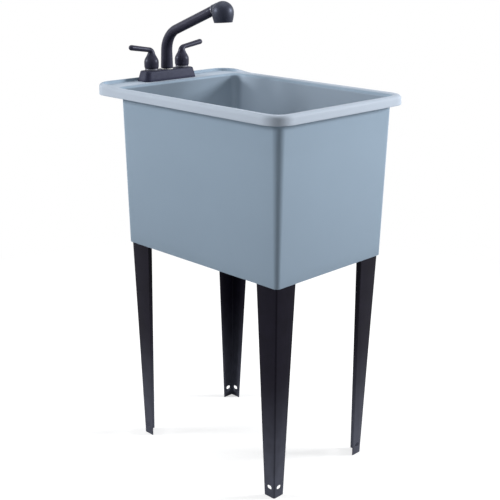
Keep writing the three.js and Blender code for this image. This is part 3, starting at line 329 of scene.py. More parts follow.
class Finish:
    """A Principled material with short calls for the nodes that shape it."""

    def __init__(self, name, colour, roughness, metallic=0.0, specular=0.5):
        self.material = bpy.data.materials.new(name)
        self.material.use_nodes = True
        self.nodes = self.material.node_tree.nodes
        self.links = self.material.node_tree.links
        self.surface = self.nodes["Principled BSDF"]
        self.surface.inputs["Base Color"].default_value = (*colour, 1)
        self.surface.inputs["Roughness"].default_value = roughness
        self.surface.inputs["Metallic"].default_value = metallic
        self.surface.inputs["Specular IOR Level"].default_value = specular
        self.place = self.nodes.new("ShaderNodeTexCoord").outputs["Object"]
        self.height = None

    def noise(self, scale, detail=2.0, stretch=(1, 1, 1)):
        mapping = self.nodes.new("ShaderNodeMapping")
        mapping.inputs["Scale"].default_value = stretch
        self.links.new(self.place, mapping.inputs["Vector"])
        node = self.nodes.new("ShaderNodeTexNoise")
        node.inputs["Scale"].default_value = scale
        node.inputs["Detail"].default_value = detail
        self.links.new(mapping.outputs[0], node.inputs["Vector"])
        return node.outputs["Fac"]

    def waves(self, scale, direction="Z", distortion=0.0):
        node = self.nodes.new("ShaderNodeTexWave")
        node.bands_direction = direction
        node.inputs["Scale"].default_value = scale
        node.inputs["Distortion"].default_value = distortion
        self.links.new(self.place, node.inputs["Vector"])
        return node.outputs["Fac"]

    def spread(self, source, low, high, from_low=0.3, from_high=0.7, curve="LINEAR"):
        """Maps one range onto another. The usual range is the one that a noise fills."""
        node = self.nodes.new("ShaderNodeMapRange")
        node.interpolation_type = curve
        node.inputs["From Min"].default_value = from_low
        node.inputs["From Max"].default_value = from_high
        node.inputs["To Min"].default_value = low
        node.inputs["To Max"].default_value = high
        self.links.new(source, node.inputs["Value"])
        return node.outputs["Result"]

    def painted(self, name):
        """A value that the mesh holds at each of its points."""
        node = self.nodes.new("ShaderNodeAttribute")
        node.attribute_name = name
        return node.outputs["Fac"]

    def axis(self, name):
        node = self.nodes.new("ShaderNodeSeparateXYZ")
        self.links.new(self.place, node.inputs[0])
        return node.outputs[name]

    def blend(self, factor, first, second):
        """Colour mix. Each of first and second is a colour or a socket."""
        node = self.nodes.new("ShaderNodeMix")
        node.data_type = "RGBA"
        self.links.new(factor, node.inputs["Factor"])
        for socket, value in ((node.inputs[6], first), (node.inputs[7], second)):
            if isinstance(value, tuple):
                socket.default_value = (*value, 1)
            else:
                self.links.new(value, socket)
        return node.outputs[2]

    def shades(self, source, colour, low, high):
        """One colour between two brightnesses, by a source from 0 to 1."""
        return self.blend(source, tint(colour, low), tint(colour, high))

    def patches(self, scale, detail):
        """Soft cloudy patches from 0 to 1."""
        return self.spread(self.noise(scale, detail), 0, 1)

    def colour(self, socket):
        self.links.new(socket, self.surface.inputs["Base Color"])

    def roughness(self, source, low, high):
        self.links.new(self.spread(source, low, high), self.surface.inputs["Roughness"])

    def bump(self, source, depth):
        """Adds a bump layer; depth is the height of the relief in metres."""
        node = self.nodes.new("ShaderNodeBump")
        node.inputs["Distance"].default_value = depth
        self.links.new(source, node.inputs["Height"])
        if self.height:
            self.links.new(self.height, node.inputs["Normal"])
        self.height = node.outputs[0]
        self.links.new(self.height, self.surface.inputs["Normal"])


def moulded_tub():
    wall = (0.252, 0.328, 0.412)
    # the rim's colour is the walls' plastic painted lighter: painted light from above on the rim
    rim = (0.418, 0.476, 0.555)
    # a paler copy of the wall colour, for painted light in the basin
    lit_basin_colour = (0.506, 0.600, 0.715)
    finish = Finish("tub_plastic", wall, 0.6, specular=0.12)
    height = finish.axis("Z")
    painted_rim_light = finish.painted("pale")
    cloudy = finish.patches(5, 3)
    # painted shade: the walls are painted darker towards the bottom of the skirt
    low = finish.shades(cloudy, wall, 0.83, 0.86)
    high = finish.shades(cloudy, wall, 0.985, 1.015)
    walls = finish.blend(finish.spread(height, 0, 1, SKIRT_BOTTOM, RIM_TOP - 0.1), low, high)
    painted_lit_rims = finish.shades(cloudy, rim, 0.985, 1.015)
    outside = finish.blend(painted_rim_light, walls, painted_lit_rims)
    # painted light and shade in the basin, from a darker copy of the wall colour to a paler one
    inside = finish.blend(finish.painted("basin_painted_light_and_shade"), tint(wall, 0.55), lit_basin_colour)
    finish.colour(finish.blend(finish.painted("inner"), outside, inside))
    finish.roughness(finish.noise(40, 4), 0.55, 0.65)
    finish.bump(finish.noise(700, 3), 0.00006)
    finish.bump(finish.noise(9, 1), 0.0006)
    return finish.material


def black_enamel():
    """Black paint, painted lighter up to a third of a metre from the floor: a painted reflection of
    the floor.
    """
    paint = (0.0056, 0.0048, 0.0098)
    # a lighter paint for the painted reflection of the pale floor
    floor_reflection_paint = (0.052, 0.055, 0.074)
    finish = Finish("leg_enamel", paint, 0.42, specular=0.05)
    mottle = finish.patches(30, 4)
    upper = finish.shades(mottle, paint, 1, 1.4)
    lower = finish.shades(mottle, floor_reflection_paint, 1, 1.3)
    # painted reflection: strongest at the floor, gone a third of a metre up
    near_floor_reflection = finish.spread(finish.axis("Z"), 1, 0, 0.0, 0.33, "SMOOTHSTEP")
    finish.colour(finish.blend(near_floor_reflection, upper, lower))
    finish.roughness(finish.noise(60, 3), 0.34, 0.46)
    finish.bump(finish.noise(450, 2), 0.00008)
    return finish.material


def satin_charcoal(name, colour, roughness, metallic, specular):
    finish = Finish(name, colour, roughness, metallic, specular)
    finish.surface.inputs["Specular Tint"].default_value = (0.66, 0.76, 1.0, 1)
    finish.colour(finish.shades(finish.patches(60, 3), colour, 0.92, 1.08))
    finish.roughness(finish.noise(250, 3), roughness - 0.05, roughness + 0.05)
    finish.bump(finish.noise(1600, 2), 0.00002)
    return finish.material


def plain_plastic(name, colour, roughness, grain=900):
    finish = Finish(name, colour, roughness)
    finish.colour(finish.shades(finish.patches(50, 3), colour, 0.9, 1.1))
    finish.roughness(finish.noise(120, 3), roughness - 0.06, roughness + 0.06)
    finish.bump(finish.noise(grain, 2), 0.00004)
    return finish.material


def polished_steel():
    steel = (0.62, 0.63, 0.64)
    finish = Finish("polished_steel", steel, 0.25, 1.0)
    brushed = finish.noise(300, 3, (1, 1, 0.08))
    finish.colour(finish.shades(finish.spread(brushed, 0, 1), steel, 0.94, 1.04))
    finish.roughness(brushed, 0.18, 0.34)
    finish.bump(brushed, 0.00001)
    return finish.material


def turned_brass(name, pitch=None):
    """Brass as it comes off a lathe. Where a pitch is given, its bands are the thread."""
    brass = (0.62, 0.43, 0.17)
    finish = Finish(name, brass, 0.35, 1.0)
    finish.colour(finish.shades(finish.patches(90, 3), brass, 0.85, 1.05))
    finish.roughness(finish.noise(200, 3), 0.28, 0.42)
    if pitch:
        finish.bump(finish.waves(BAND_LENGTH / pitch), pitch * 0.3)
    return finish.material


def braided_hose():
    braid = (0.16, 0.16, 0.18)
    finish = Finish("braided_hose", braid, 0.45, 0.4)
    strands = finish.waves(180, "DIAGONAL", 1.0)
    finish.colour(finish.shades(strands, braid, 0.6, 1.3))
    finish.bump(strands, 0.0004)
    return finish.material


def fibre_board():
    board = (0.48, 0.39, 0.25)
    finish = Finish("fibre_board", board, 0.9)
    finish.colour(finish.shades(finish.patches(220, 5), board, 0.8, 1.1))
    finish.bump(finish.noise(500, 4), 0.00008)
    return finish.material


CHARCOAL = (0.032, 0.031, 0.049)
MATERIALS = {
    "tub": moulded_tub(),
    "leg": black_enamel(),
    "faucet": satin_charcoal("satin_charcoal", CHARCOAL, 0.36, 0.0, 0.12),
    "ring": satin_charcoal("satin_grey", (0.13, 0.13, 0.15), 0.35, 0.3, 0.3),
    "head": satin_charcoal("satin_head", (0.022, 0.024, 0.038), 0.44, 0.2, 0.35),
    "plastic": plain_plastic("black_plastic", (0.018, 0.018, 0.020), 0.5),
    "rubber": plain_plastic("black_rubber", (0.012, 0.012, 0.013), 0.8, 500),
    "fibre": fibre_board(),
    "steel": polished_steel(),
    "hose": braided_hose(),
    "brass": turned_brass("turned_brass"),
    "white": plain_plastic("white_plastic", (0.78, 0.78, 0.75), 0.45),
}
THREAD_PITCH = 0.0014
THREADED = turned_brass("threaded_brass", THREAD_PITCH)
BASE_FINISH = satin_charcoal("satin_base", (0.033, 0.034, 0.056), 0.5, 0.0, 0.09)


# ---- meshes -------------------------------------------------------------------------------------


def make_piece(name, points, faces, body, slot, nodes, sharp):
    """Adds a mesh for its CAD nodes, smooth where it bends by less than sharp, in degrees."""
    mesh = bpy.data.meshes.new(name)
    mesh.from_pydata(points, [], faces)
    mesh.validate()
    mesh.polygons.foreach_set("use_smooth", [True] * len(mesh.polygons))
    mesh.set_sharp_from_angle(angle=math.radians(sharp))
    mesh.materials.append(MATERIALS[slot])
    piece = bpy.data.objects.new(name, mesh)
    bpy.context.scene.collection.objects.link(piece)
    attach(piece, body)
    for node in nodes:
        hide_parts(node)
    return piece


def loft(rings, closed=False):
    """Points and faces of a surface through rings with the same number of points.

    It ends in two flat caps, or is closed from its last ring to its first.
    """
    count = len(rings[0])
    points = [point for ring in rings for point in ring]
    faces = []
    for r in range(len(rings) if closed else len(rings) - 1):
        here = r * count
        there = (r + 1) % len(rings) * count
        for i in range(count):
            j = (i + 1) % count
            faces.append((here + i, here + j, there + j, there + i))
    if not closed:
        faces.append(tuple(reversed(range(count))))
        faces.append(tuple(range(len(points) - count, len(points))))
    return points, faces


def lathe(profile, centre=(0, 0), sides=64):
    """Rings round a vertical line. The profile holds (radius, height) pairs."""
    rings = []
    for radius, height in profile:
        ring = []
        for k in range(sides):
            angle = k / sides * math.tau
            x = centre[0] + radius * math.cos(angle)
            y = centre[1] + radius * math.sin(angle)
            ring.append(Vector((x, y, height)))
        rings.append(ring)
    return rings


def circle(centre, along, radius, side=Vector((1, 0, 0)), sides=48):
    """A ring across the direction along, whose first point lies to the given side."""
    up = along.cross(side)
    ring = []
    for k in range(sides):
        angle = k / sides * math.tau
        ring.append(centre + side * radius * math.cos(angle) + up * radius * math.sin(angle))
    return ring


def arc(centre, radius, start, end, steps):
    """(radius, height) pairs on a round stretch of a lathe profile. Angles are in degrees."""
    pairs = []
    for k in range(steps + 1):
        angle = math.radians(mix(start, end, k / steps))
        pairs.append((centre[0] + radius * math.cos(angle), centre[1] + radius * math.sin(angle)))
    return pairs


def washer_profile(bore, outer, start, end):
    """(radius, height) pairs of a flat ring with soft outer edges."""
    middle = outer - RING_EDGE
    return [
        (bore, start), *arc((middle, start + RING_EDGE), RING_EDGE, -90, 0, 4),
        *arc((middle, end - RING_EDGE), RING_EDGE, 0, 90, 4), (bore, end),
    ]


# ---- tub ----------------------------------------------------------------------------------------

CORNER_STEPS = 12
RISE_START = 0.88
SIDE_STOPS = [k * RISE_START / 8 for k in range(1, 9)]
SIDE_STOPS += [RISE_START + k * 0.01 for k in range(1, 12)]


def tub_ring(half, front, back, radius, z, z_back=None):
    """Points round the tub at one height, or with its back at a height of its own.

    The sides rise to the height of the back over the last stretch, from RISE_START on.
    """
    z_back = z if z_back is None else z_back
    ring = []

    def put(x, y, lift):
        ring.append(Vector((x, y, mix(z, z_back, lift))))

    def corner(quarter, x, y, lift):
        for k in range(CORNER_STEPS + 1):
            angle = (quarter + k / CORNER_STEPS) * math.pi / 2
            put(x + radius * math.cos(angle), y + radius * math.sin(angle), lift)

    def side(x, stops):
        for stop in stops:
            put(x, mix(front + radius, back - radius, stop), smoothstep(stop, RISE_START, 1))

    side(half, SIDE_STOPS)
    corner(0, half - radius, back - radius, 1)
    put(0, back, 1)
    corner(1, radius - half, back - radius, 1)
    side(-half, reversed(SIDE_STOPS))
    corner(2, radius - half, front + radius, 0)
    put(0, front, 0)
    corner(3, half - radius, front + radius, 0)
    return ring


def rim_ring(inset, z, z_back=None):
    half = HALF_WIDTH - inset
    return tub_ring(half, -HALF_DEPTH + inset, HALF_DEPTH - inset, RIM_CORNER - inset, z, z_back)


def wall_at(height, inset):
    """Half the width, the front and the back of the tapered walls at a height."""
    below = LIP_BOTTOM - height
    half = HALF_WIDTH - SIDE_OVERHANG - SIDE_DRAFT * below - inset
    front = -HALF_DEPTH + FRONT_OVERHANG + END_DRAFT * below + inset
    back = HALF_DEPTH - BACK_OVERHANG - END_DRAFT * below - inset
    return half, front, back


def wall_corner(height, inset):
    t = (height - SKIRT_BOTTOM) / (LIP_BOTTOM - SKIRT_BOTTOM)
    return mix(SKIRT_CORNER, WALL_CORNER, t) - inset


def wall_ring(height, inset, z_back=None):
    return tub_ring(*wall_at(height, inset), wall_corner(height, inset), height, z_back)


def drain_centre():
    _, front, back = wall_at(FLOOR_EDGE, WALL)
    return (front + back) / 2


def floor_rings(edge_height, inset, radius, drop):
    """Rings from the edge of the floor in to a circle at the drain."""
    half, front, back = wall_at(edge_height, inset)
    centre = drain_centre()
    rings = []
    for share in (0.75, 0.5, 0.3):
        size = max(radius * share, DRAIN_PAD_RADIUS * (1 - share))
        height = edge_height - drop * (1 - share)
        rings.append(tub_ring(
            mix(DRAIN_PAD_RADIUS, half, share), mix(centre - DRAIN_PAD_RADIUS, front, share),
            mix(centre + DRAIN_PAD_RADIUS, back, share), size, height))
    return rings


def drain_ring(radius, z):
    """A round ring at the drain whose points follow the order of a tub ring."""
    centre = drain_centre()
    half, corner = 0.1, 0.02
    ring = []
    for point in tub_ring(half, -half, half, corner, 0):
        direction = Vector((point.x, point.y)).normalized() * radius
        ring.append(Vector((direction.x, centre + direction.y, z)))
    return ring


def rim_outer_rings():
    """Up the outside of the lip and over the rim's round edge."""
    rings = [rim_ring(LIP_THICKNESS - SOFT_EDGE, LIP_BOTTOM), rim_ring(SOFT_EDGE, LIP_BOTTOM)]
    rings.append(rim_ring(SOFT_EDGE * 0.3, LIP_BOTTOM + SOFT_EDGE * 0.3))
    rings.append(rim_ring(0, LIP_BOTTOM + SOFT_EDGE))
    for share in (0.3, 0.6, 0.85):
        height = mix(LIP_BOTTOM, RIM_TOP - EDGE_RADIUS, share)
        raised = mix(LIP_BOTTOM, RIM_TOP + RIDGE_RISE - EDGE_RADIUS, share)
        rings.append(rim_ring(LIP_DRAFT * share, height, raised))
    steps = 8
    for k in range(steps + 1):
        angle = k / steps * math.pi / 2
        inset = LIP_DRAFT + EDGE_RADIUS * (1 - math.cos(angle))
        z = RIM_TOP - EDGE_RADIUS * (1 - math.sin(angle))
        rings.append(rim_ring(inset, z, z + RIDGE_RISE))
    return rings


def rim_inner_rings():
    """From the rim's top down to the basin: a plain roll, and at the back a deck with a lip."""
    crown = LIP_DRAFT + EDGE_RADIUS
    flat_end = crown + RIM_FLAT
    ridge_end = crown + RIDGE_FLAT
    deck_start = ridge_end + RIDGE_SLOPE
    side_roll = SIDE_OVERHANG + WALL - flat_end
    front_roll = FRONT_OVERHANG + WALL - flat_end
    deck_end = BACK_OVERHANG + WALL - DECK_LIP

    def ring(roll, back_inset, z_back):
        """A ring at an angle of the roll, whose back has a place and height of its own."""
        turned = math.sin(roll)
        return tub_ring(
            HALF_WIDTH - flat_end - side_roll * turned,
            -HALF_DEPTH + flat_end + front_roll * turned, HALF_DEPTH - back_inset,
            mix(RIM_CORNER - flat_end, WALL_CORNER - WALL, turned),
            RIM_TOP - RIM_ROLL_HEIGHT * (1 - math.cos(roll)), z_back)

    deck_roll = math.radians(20)  # how far the sides have turned where the deck's lip starts
    rings = [ring(0, ridge_end, RIM_TOP + RIDGE_RISE)]
    slope_steps = 5
    for k in range(1, slope_steps + 1):
        share = k / slope_steps
        height = mix(RIM_TOP + RIDGE_RISE, DECK_TOP, smoothstep(share, 0, 1))
        rings.append(ring(deck_roll / 2 * share, mix(ridge_end, deck_start, share), height))
    for share in (0.3, 0.6, 0.9, 1):
        roll = mix(deck_roll / 2, deck_roll, share)
        rings.append(ring(roll, mix(deck_start, deck_end, share), DECK_TOP))
    steps = 10
    for k in range(1, steps + 1):
        lip = k / steps * math.pi / 2
        inset = deck_end + DECK_LIP * math.sin(lip)
        z_back = DECK_TOP - DECK_LIP_HEIGHT * (1 - math.cos(lip))
        rings.append(ring(mix(deck_roll, math.pi / 2, k / steps), inset, z_back))
    return rings


def fillet_rings():
    """The round from the basin's walls to its floor."""
    edge = FLOOR_EDGE + FLOOR_FILLET
    half, front, back = wall_at(edge, WALL)
    radius = wall_corner(edge, WALL)
    rings = []
    steps = 9
    for k in range(steps + 1):
        angle = k / steps * math.pi / 2
        inset = FLOOR_FILLET * (1 - math.cos(angle))
        corner = mix(radius, SKIRT_CORNER / 4, k / steps)
        z = FLOOR_EDGE + FLOOR_FILLET * (1 - math.sin(angle))
        rings.append(tub_ring(half - inset, front + inset, back - inset, corner, z))
    return rings


# where the tub's painted light and shade change, in metres
DECK_FRONT = HALF_DEPTH - BACK_OVERHANG
BASIN_BACK = HALF_DEPTH - BACK_OVERHANG - WALL
DECK_EDGE = (DECK_FRONT, DECK_FRONT + 0.02)
BACK_RIDGE = (HALF_DEPTH - 0.045, HALF_DEPTH - 0.015)
UPPER_BASIN = (RIM_TOP - 0.2, RIM_TOP - 0.005)
SIDE_WALL = (HALF_WIDTH - 0.07, HALF_WIDTH - 0.045)
NEAR_SIDE = (HALF_WIDTH - 0.16, HALF_WIDTH - 0.06)
BACK_WALL = (BASIN_BACK - 0.035, BASIN_BACK - 0.01)
BACK_HALF = (-0.1, 0.2)

# the same, in rings of the rim's inner turn
ROLL_FADES = (9, 13)
DECK_STARTS = (4, 7)
DECK_FADES = (12, 15)
TONE_STARTS = (10, 14)
BASIN_RINGS = 5  # the last ones, which lead into the basin
# on the back's ridge these rings go without the rim's painted light, a painted shade there
RIDGE_RINGS = 6  # the last ones of the outer edge, which are darker on the back's ridge

# painted light and shade, from 0 for the walls or the basin's painted shade to 1 for the rim's or
# the basin's painted light
DECK_PAINTED_LIGHT = 0.8
SIDE_TONE = 0.38
SIDE_FALL = 0.1
SIDE_FALL_AT_BACK = 0.08
END_RISE = 0.07
END_RISE_NEAR_SIDE = 0.05


def rim_painted_light_share(point, step):
    """How much of the rim's painted light a point on its inner turn has, on its roll and its deck.
    """
    on_deck = smoothstep(point.y, *DECK_EDGE)
    deck = DECK_PAINTED_LIGHT * smoothstep(step, *DECK_STARTS) * (1 - smoothstep(step, *DECK_FADES))
    return mix(1 - smoothstep(step, *ROLL_FADES), deck, on_deck)


def basin_light_and_shade_at(point):
    """How much painted light the basin has at a point: 0 is painted shade, 1 is painted light.

    Its side walls get the most. It lessens further down, and there most towards the back. The end
    walls and the floor get a little more further down and near the sides.
    """
    depth = 1 - smoothstep(point.z, *UPPER_BASIN)
    on_side = smoothstep(abs(point.x), *SIDE_WALL)
    on_side *= 1 - smoothstep(point.y, *BACK_WALL)
    fall = SIDE_FALL + SIDE_FALL_AT_BACK * smoothstep(point.y, *BACK_HALF)
    near_side = smoothstep(abs(point.x), *NEAR_SIDE)
    across = END_RISE * depth + END_RISE_NEAR_SIDE * near_side
    return mix(across, SIDE_TONE - depth * fall, on_side)


def paint_tub(tub, name, parts, rules):
    """Gives each point of the tub a value: one rule for each of its parts."""
    values = []
    for rings, rule in zip(parts, rules):
        values += [rule(point, k) for k, ring in enumerate(rings) for point in ring]
    tub.data.attributes.new(name, "FLOAT", "POINT").data.foreach_set("value", values)


def make_tub():
    under_edge = FLOOR_EDGE - FLOOR_THICKNESS
    pad_bottom = DRAIN_SEAT - FLOOR_THICKNESS
    under_fall = under_edge - FLOOR_FALL
    outside = [
        drain_ring(DRAIN_HOLE, pad_bottom),
        drain_ring(DRAIN_PAD_RADIUS, pad_bottom),
        drain_ring(DRAIN_PAD_RADIUS, under_fall + SOFT_EDGE),
        *reversed(floor_rings(under_edge, WALL, SKIRT_CORNER - WALL, FLOOR_FALL)),
        wall_ring(under_edge, WALL),
        wall_ring(SKIRT_BOTTOM + SOFT_EDGE, WALL),
        wall_ring(SKIRT_BOTTOM, WALL - SOFT_EDGE),
        wall_ring(SKIRT_BOTTOM, SOFT_EDGE),
        wall_ring(SKIRT_BOTTOM + SOFT_EDGE * 0.3, SOFT_EDGE * 0.3),
        wall_ring(SKIRT_BOTTOM + SOFT_EDGE, 0),
        *[wall_ring(mix(SKIRT_BOTTOM, LIP_BOTTOM, k / 12), 0) for k in range(1, 13)],
        wall_ring(PLATE_UNDERSIDE, 0, DECK_UNDERSIDE),
        rim_ring(LIP_THICKNESS, PLATE_UNDERSIDE, DECK_UNDERSIDE),
    ]
    crown = rim_outer_rings()
    turn = rim_inner_rings()
    wall_foot = FLOOR_EDGE + FLOOR_FILLET
    inside = [
        *[wall_ring(mix(BASIN_WALL_TOP, wall_foot, k / 12), WALL) for k in range(1, 12)],
        *fillet_rings(),
        *floor_rings(FLOOR_EDGE, WALL + FLOOR_FILLET, SKIRT_CORNER / 4, FLOOR_FALL),
        drain_ring(DRAIN_SEAT_RADIUS, DRAIN_SEAT + DRAIN_STEP),
        drain_ring(DRAIN_SEAT_RADIUS, DRAIN_SEAT),
        drain_ring(DRAIN_HOLE, DRAIN_SEAT),
    ]
    points, faces = loft([*outside, *crown, *turn, *inside], closed=True)
    tub = make_piece("tub_shell", points, faces, "sink", "tub", ["tub"], sharp=38)
    parts = (outside, crown[:-RIDGE_RINGS], crown[-RIDGE_RINGS:], turn, inside)
    last = len(turn) - 1

    def none(point, step):
        return 0.0

    def full(point, step):
        return 1.0

    def painted_light_off_ridge(point, step):
        return 1 - smoothstep(point.y, *BACK_RIDGE)

    def in_basin(point, step):
        return smoothstep(step, last + 1 - BASIN_RINGS, last)

    def turn_light_and_shade(point, step):
        return basin_light_and_shade_at(point) * smoothstep(step, *TONE_STARTS)

    def basin_painted_light_and_shade(point, step):
        return basin_light_and_shade_at(point)

    # painted light and shade: the first value is the rim's painted light, the second brings in the
    # basin's painted light and shade, the third sets how light it is
    paint_tub(tub, "pale", parts, (none, full, painted_light_off_ridge, rim_painted_light_share, none))
    paint_tub(tub, "inner", parts, (none, none, none, in_basin, full))
    paint_tub(tub, "basin_painted_light_and_shade", parts, (none, none, none, turn_light_and_shade, basin_painted_light_and_shade))


def socket_point(sx, end, height, pair):
    """A point in a corner of the skirt, at two distances in from its walls."""
    half, front, back = wall_at(height, WALL)
    edge, sign = (front, 1) if end == "front" else (back, -1)
    return Vector((sx * (half - pair[0]), edge + sign * pair[1], height))


def socket_rings(sx, end):
    """Sections of an angle in one corner of the skirt, with a slot below for the leg."""
    thickness = LEG_INSET + LEG_THICKNESS + SLACK + SOCKET_WALL
    depths = (0.0, thickness, LEG_INSET - SLACK, LEG_INSET + LEG_THICKNESS + SLACK)
    reach = LEG_INSET + LEG_FLANGE_AT_SOCKET + SLACK + SOCKET_WALL
    centre = SOCKET_CORNER + thickness
    top = FLOOR_EDGE - FLOOR_THICKNESS / 2
    rings = []

    def station(outer, inner, slot_outer, slot_inner):
        corners = [
            (outer, SOCKET_BOTTOM), (outer, top), (inner, top), (inner, SOCKET_BOTTOM),
            (slot_inner, SOCKET_BOTTOM), (slot_inner, POCKET_TOP),
            (slot_outer, POCKET_TOP), (slot_outer, SOCKET_BOTTOM)]
        rings.append([socket_point(sx, end, height, pair) for pair, height in corners])

    def bent(depth, angle):
        size = centre - depth
        return centre - size * math.cos(angle), centre - size * math.sin(angle)

    for along in (reach, centre):
        station(*[(depth, along) for depth in depths])
    for k in range(1, 8):
        station(*[bent(depth, k / 8 * math.pi / 2) for depth in depths])
    for along in (centre, reach):
        station(*[(along, depth) for depth in depths])
    return rings


def make_sockets():
    for sx, side in ((-1, "left"), (1, "right")):
        for end in ("front", "back"):
            points, faces = loft(socket_rings(sx, end))
            make_piece(f"leg_socket_{end}_{side}", points, faces, "sink", "tub", [], sharp=38)


# ---- faucet -------------------------------------------------------------------------------------


def base_ring(inset, height):
    """A rounded rectangle round the tapered base, at a height over its foot."""
    share = height / (BASE_HIGH.z - BASE_LOW.z)
    half_x = (BASE_HIGH.x - BASE_LOW.x) / 2 - BASE_END_TAPER * share - inset
    half_y = (BASE_HIGH.y - BASE_LOW.y) / 2 - BASE_SIDE_TAPER * share - inset
    radius = mix(BASE_CORNER, BASE_TOP_CORNER, share) - inset
    ring = []
    for quarter, (sx, sy) in enumerate(((1, 1), (-1, 1), (-1, -1), (1, -1))):
        for k in range(CORNER_STEPS + 1):
            angle = (quarter + k / CORNER_STEPS) * math.pi / 2
            ring.append(Vector((
                FAUCET_X + sx * (half_x - radius) + radius * math.cos(angle),
                FAUCET_Y + sy * (half_y - radius) + radius * math.sin(angle),
                BASE_LOW.z + height)))
    return ring


def make_base():
    height = BASE_HIGH.z - BASE_LOW.z
    rings = [
        base_ring(BASE_WALL, height - BASE_WALL), base_ring(BASE_WALL, 0),
        base_ring(BASE_FOOT_INSET, 0), base_ring(0, BASE_FOOT_EDGE),
        base_ring(0, height * 0.3), base_ring(0, height * 0.6),
    ]
    for k in range(7):
        angle = k / 6 * math.pi / 2
        inset = BASE_EDGE * (1 - math.cos(angle))
        rings.append(base_ring(inset, height - BASE_EDGE * (1 - math.sin(angle))))
    points, faces = loft(rings)
    cover = make_piece(
        "faucet_base_cover", points, faces, "sink", "faucet", ["faucet_base"], sharp=45)
    cover.data.materials[0] = BASE_FINISH


def make_collar(name):
    low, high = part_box(f"{name}_collar")
    x = (low.x + high.x) / 2
    profile = washer_profile(COLLAR_BORE, (high.x - low.x) / 2, low.z, high.z)
    points, faces = loft(lathe(profile, (x, FAUCET_Y)), closed=True)
    make_piece(
        f"{name}_collar_ring", points, faces, "sink", "ring", [f"{name}_collar"], sharp=60)


HANDLE_PROFILE = [
    # share of the height, radius
    (-0.08, HANDLE_FOOT), (0.0, HANDLE_FOOT), (0.08, mix(HANDLE_FOOT, HANDLE_BODY, 0.8)),
    (0.22, HANDLE_BODY), (0.4, HANDLE_BODY), (0.53, mix(HANDLE_NECK, HANDLE_BODY, 0.84)),
    (0.66, mix(HANDLE_NECK, HANDLE_BODY, 0.52)), (0.78, mix(HANDLE_NECK, HANDLE_BODY, 0.2)),
    (0.89, HANDLE_NECK), (1.0, HANDLE_NECK),
]


def handle_radius(share):
    """Radius of the teardrop body at a share of its height, on a smooth curve."""
    stops = HANDLE_PROFILE
    for before, start, end, after in zip(stops, stops[1:], stops[2:], stops[3:]):
        if share <= end[0]:
            width = end[0] - start[0]
            t = (share - start[0]) / width
            leave = (end[1] - before[1]) / (end[0] - before[0]) * width
            arrive = (after[1] - start[1]) / (after[0] - start[0]) * width
            return (
                start[1] * (1 + 2 * t) * (1 - t) ** 2 + leave * t * (1 - t) ** 2
                + end[1] * t * t * (3 - 2 * t) - arrive * t * t * (1 - t))
    return HANDLE_NECK


def make_handle(name, outward):
    """The recess below, the body, the elbow, the lever and its round tip, as one loft."""
    x = FAUCET_X + outward * VALVE_SPACING / 2
    rings = []

    def station(out, height, lean, radius):
        centre = Vector((x + outward * out, FAUCET_Y, HANDLE_BOTTOM + height))
        along = Vector((outward * math.sin(lean), 0, math.cos(lean)))
        rings.append(circle(centre, along, radius, side=Vector((0, 1, 0))))

    station(0, HANDLE_BORE_DEPTH, 0, HANDLE_BORE)
    station(0, 0, 0, HANDLE_BORE)
    for height, inset in HANDLE_EDGE:
        station(0, height, 0, HANDLE_FOOT - inset)
    bend_radius = HANDLE_NECK + SLACK
    bend_start = HANDLE_HEIGHT - bend_radius / 2
    body_low, body_high = 0.001, bend_start - 0.0005
    steps = 22
    for k in range(1, steps + 1):
        height = mix(body_low, body_high, k / steps)
        station(0, height, 0, handle_radius(height / HANDLE_HEIGHT))
    lever_lean = math.pi / 2 - LEVER_RISE
    for k in range(9):
        lean = lever_lean * k / 8
        elbow_out = bend_radius * (1 - math.cos(lean))
        elbow_height = bend_start + bend_radius * math.sin(lean)
        station(elbow_out, elbow_height, lean, mix(HANDLE_NECK, LEVER_RADIUS, k / 8))

    def lever_station(out, radius):
        rise = elbow_height + (out - elbow_out) * math.tan(LEVER_RISE)
        station(out, rise, lever_lean, radius)

    for k in range(1, 8):
        share = k / 8
        out = mix(elbow_out, HANDLE_REACH - LEVER_TIP, share)
        lever_station(out, mix(LEVER_RADIUS, LEVER_TIP, share))
    for turn in range(0, 90, 8):
        angle = math.radians(turn)
        out = HANDLE_REACH - LEVER_TIP * (1 - math.sin(angle))
        lever_station(out, LEVER_TIP * math.cos(angle))
    points, faces = loft(rings)
    make_piece(
        f"{name}_lever_handle", points, faces, f"{name}_lever", "faucet", [f"{name}_handle"],
        sharp=50)


TUBE_DIRECTION = Vector((0, -math.cos(SPOUT_RISE), math.sin(SPOUT_RISE)))
BEND_POINT = Vector((FAUCET_X, FAUCET_Y, BEND_HEIGHT))


def tube_rings(pairs):
    """Rings on the slanted tube's line. The pairs are (distance from the bend, radius)."""
    return [
        circle(BEND_POINT + TUBE_DIRECTION * distance, TUBE_DIRECTION, radius)
        for distance, radius in pairs]


